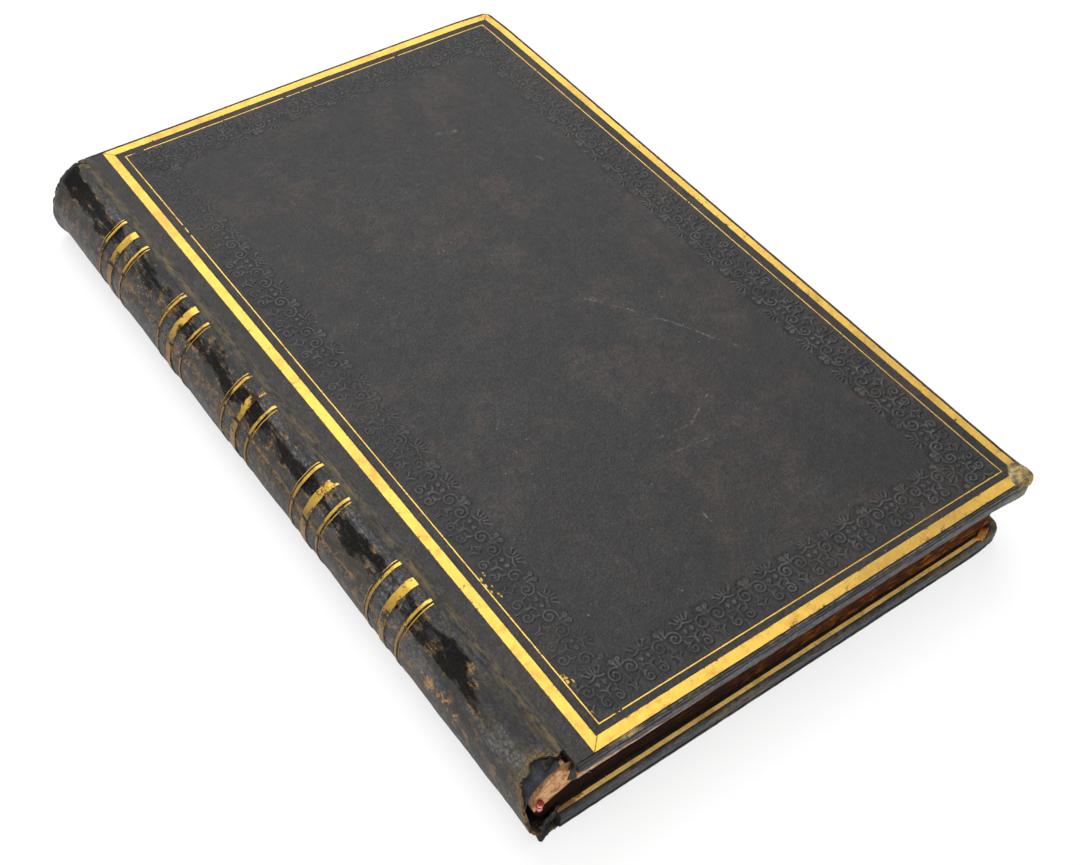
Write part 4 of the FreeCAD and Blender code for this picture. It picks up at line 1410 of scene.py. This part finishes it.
def back_circle(low, high):
    """The pages' round back as a circle through both shoulders and the crest: centre, radius, shoulders."""
    front = np.array([FRONT_X - SHOULDER_BACK, high])
    back = np.array([BACK_X - SHOULDER_BACK, low])
    crown = np.array([TEXT_CREST, BOOK_T / 2])
    a, b = front - crown, back - crown
    solve = np.linalg.solve(np.array([a, b]), 0.5 * np.array([a @ a, b @ b]))
    return crown + solve, math.hypot(*solve), front, back


def make_pages():
    """The pages as a pile of thin leaves with slightly uneven edges, and two flyleaves outside."""
    low_box, high_box = (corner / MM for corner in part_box("text_block"))
    bottom, top = COVER_T + PAGE_GAP, BOOK_T - COVER_T - PAGE_GAP
    low, high = low_box.z, high_box.z
    lean = FRONT_X - BACK_X
    fore_low = BACK_X + COVER_W - SQUARE
    hollow = 5.0
    leaf = 0.16
    rng = np.random.default_rng(11)
    points, faces, kinds = [], [], []

    centre, radius, _, _ = back_circle(low, high)

    def back_x(z):
        """The round back at a height."""
        return centre[0] - math.sqrt(max(radius ** 2 - (z - centre[1]) ** 2, 0.0))

    def fore_x(z):
        """The hollow fore-edge at a height."""
        share = (z - bottom) / (top - bottom)
        return fore_low + lean * share - hollow * 4 * share * (1 - share)

    count = int((high - low) / leaf)
    for k in range(count):
        z0 = low + k * leaf
        z1 = z0 + leaf * 0.94
        mid = (z0 + z1) / 2
        x0 = back_x(mid) + rng.uniform(0, 0.10)
        if bottom <= mid <= top:
            x1 = fore_x(mid) - rng.uniform(0, 0.22)
        else:
            x1 = (FRONT_X if mid > top else BACK_X) - SHOULDER_BACK
        end = HALF_H - SQUARE
        y0 = -end + rng.uniform(0, 0.10)
        y1 = end - rng.uniform(0, 0.10)
        offset = len(points)
        points += [(x, y, z) for z in (z0, z1) for x, y in ((x0, y0), (x1, y0), (x1, y1), (x0, y1))]
        faces += [tuple(offset + n for n in q) for q in
                  ((3, 2, 1, 0), (4, 5, 6, 7), (0, 1, 5, 4), (1, 2, 6, 5), (2, 3, 7, 6), (3, 0, 4, 7))]
        kinds += [int(bottom <= mid < bottom + leaf), int(top - leaf < mid <= top), 0, 0, 0, 0]
    pages = add_mesh("pages", points, faces, [MATERIALS["page_edges"], MATERIALS["endpaper"]], kinds,
                     smooth=False)
    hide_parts("text_block")
    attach(pages, "text_block")


def back_of_pages(share):
    """A place and outward direction on the round back, from the back shoulder, 0, to the front one, 1."""
    centre, radius, front, back = back_circle(SHOULDER_DEPTH, BOOK_T - SHOULDER_DEPTH)
    first = math.atan2(*(back - centre)[::-1])
    last = math.atan2(*(front - centre)[::-1])
    if first < 0:
        first += 2 * math.pi
    angle = first + (last - first) * share
    outward = np.array([math.cos(angle), math.sin(angle)])
    return centre + outward * radius, outward


def make_endband(end, low, high, wraps):
    """A band of red and white thread wound round a core, along the round back at one end of the pages."""
    points, faces, kinds = [], [], []
    core_r, around, along = 1.05, 12, 5
    y0 = end - math.copysign(SQUARE - core_r - 0.1, end)
    inward = 1.3
    for wrap in range(wraps):
        swell = 1.0 + 0.16 * ripple(wrap, end, 0.0, 1.7, 3.3)
        offset = len(points)
        for step in range(along):
            local = step / (along - 1)
            share = low + (high - low) * (wrap + local) / wraps
            (x, z), (nx, nz) = back_of_pages(share)
            radius = core_r * (0.78 + 0.22 * math.sin(math.pi * local)) * swell
            for k in range(around):
                turn = 2 * math.pi * k / around
                off = radius * math.cos(turn) - inward
                points.append((x + nx * off, y0 + radius * math.sin(turn), z + nz * off))
        faces += grid_faces(along, around, offset, close=True, flip=True)
        faces.append(tuple(offset + k for k in range(around)))
        faces.append(tuple(offset + (along - 1) * around + k for k in range(around))[::-1])
        kinds += [wrap % 2] * (len(faces) - len(kinds))
    name = "head" if end > 0 else "tail"
    band = add_mesh(f"{name}_endband_thread", points, faces,
                    [MATERIALS["red_thread"], MATERIALS["white_thread"]], kinds)
    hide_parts(f"{name}_endband")
    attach(band, "text_block")


def dress_cad_nodes():
    """Gives the pieces that keep their own shape their materials."""
    wanted = {
        "front_pastedown": "endpaper", "back_pastedown": "endpaper",
        "sewing_cords": "cord",
    }
    for node, key in wanted.items():
        mesh = frame["nodes"][node].data
        mesh.materials.clear()
        mesh.materials.append(MATERIALS[key])


# Studio

LENS_MM = 50.454
SENSOR_MM = 36.0
FLOOR_GLOW = 0.72
SURROUND_STRENGTH = 0.28
CAMERA_AT = (-236.75, -314.7, 414.4)
CAMERA_TURN = (41.149, -2.569, -35.909)


def make_camera():
    data = bpy.data.cameras.new("camera")
    data.lens = LENS_MM
    data.sensor_width = SENSOR_MM
    data.sensor_fit = "HORIZONTAL"
    data.clip_start = 0.01
    camera = bpy.data.objects.new("camera", data)
    camera.location = Vector(CAMERA_AT) * MM
    camera.rotation_euler = Euler([math.radians(a) for a in CAMERA_TURN], "XYZ")
    scene.collection.objects.link(camera)
    scene.camera = camera


def make_floor():
    """A pale floor, which the camera sees nearly white."""
    material = bpy.data.materials.new("studio_floor")
    material.use_nodes = True
    tree = material.node_tree
    shader = tree.nodes["Principled BSDF"]
    shader.inputs["Base Color"].default_value = (0.93, 0.93, 0.93, 1)
    shader.inputs["Roughness"].default_value = 0.9
    shader.inputs["Specular IOR Level"].default_value = 0.1
    white = tree.nodes.new("ShaderNodeEmission")
    white.inputs["Color"].default_value = (1.0, 1.0, 1.0, 1)
    path = tree.nodes.new("ShaderNodeLightPath")
    share = tree.nodes.new("ShaderNodeMath")
    share.operation = "MULTIPLY"
    share.inputs[1].default_value = FLOOR_GLOW
    mix = tree.nodes.new("ShaderNodeMixShader")
    tree.links.new(path.outputs["Is Camera Ray"], share.inputs[0])
    tree.links.new(share.outputs[0], mix.inputs["Fac"])
    tree.links.new(shader.outputs[0], mix.inputs[1])
    tree.links.new(white.outputs[0], mix.inputs[2])
    tree.links.new(mix.outputs[0], tree.nodes["Material Output"].inputs["Surface"])
    half = 4000.0
    floor = add_mesh("floor", [(-half, -half, 0), (half, -half, 0), (half, half, 0), (-half, half, 0)],
                     [(0, 1, 2, 3)], [material], smooth=False)


def add_softbox(name, place, size, power, target=(0.0, 0.0, 0.0)):
    data = bpy.data.lights.new(name, "AREA")
    data.shape = "RECTANGLE"
    data.size, data.size_y = size
    data.energy = power
    lamp = bpy.data.objects.new(name, data)
    lamp.location = place
    lamp.rotation_euler = (Vector(target) - Vector(place)).to_track_quat("-Z", "Y").to_euler()
    scene.collection.objects.link(lamp)


def make_lights():
    """Three softboxes and a dim white surround, which the camera sees white."""
    add_softbox("key_softbox", (0.55, 1.25, 1.55), (1.9, 1.2), 33.0)
    add_softbox("top_softbox", (-0.1, 0.2, 2.0), (1.6, 1.6), 24.0)
    add_softbox("front_softbox", (-1.0, -1.5, 0.75), (1.4, 0.7), 19.0)
    world = bpy.data.worlds.new("studio")
    world.use_nodes = True
    tree = world.node_tree
    tree.nodes.clear()
    path = tree.nodes.new("ShaderNodeLightPath")
    choose = tree.nodes.new("ShaderNodeMixShader")
    for socket, strength in ((1, SURROUND_STRENGTH), (2, 1.0)):
        white = tree.nodes.new("ShaderNodeBackground")
        white.inputs["Color"].default_value = (1.0, 1.0, 1.0, 1)
        white.inputs["Strength"].default_value = strength
        tree.links.new(white.outputs[0], choose.inputs[socket])
    out = tree.nodes.new("ShaderNodeOutputWorld")
    tree.links.new(path.outputs["Is Camera Ray"], choose.inputs["Fac"])
    tree.links.new(choose.outputs[0], out.inputs["Surface"])
    scene.world = world
    scene.view_settings.view_transform = "Standard"


def main():
    make_camera()
    make_lights()
    make_floor()
    dress_cad_nodes()
    make_cover_skin("front", with_roll=True)
    make_cover_skin("back", with_roll=False)
    make_blind_roll("front")
    for side in ("front", "back"):
        make_board(side)
        make_inner_gilt(side)
        gilt_ring(side, "gilt_frame", EDGE_MARGIN + 0.03, FILLET_W - 0.06, lanes=6, gap_share=0.01,
                  replaces=f"{side}_gilt_frame")
        line_leaf_inset = EDGE_MARGIN + LINE_INSET + (LINE_W - LINE_LEAF_W) / 2
        gilt_ring(side, "gilt_line", line_leaf_inset, LINE_LEAF_W, lanes=2, gap_share=0.12,
                  replaces=f"{side}_gilt_line")
    make_spine_skin()
    make_spine_liner()
    make_spine_gilding()
    make_joint_skin("front")
    make_joint_skin("back")
    make_pages()
    make_endband(HEAD, 0.12, 0.88, 26)
    make_endband(TAIL, 0.40, 0.54, 5)
    make_scraps()
    make_mitre_lines()
    make_corner_lump()
    make_stray_leaf()


main()
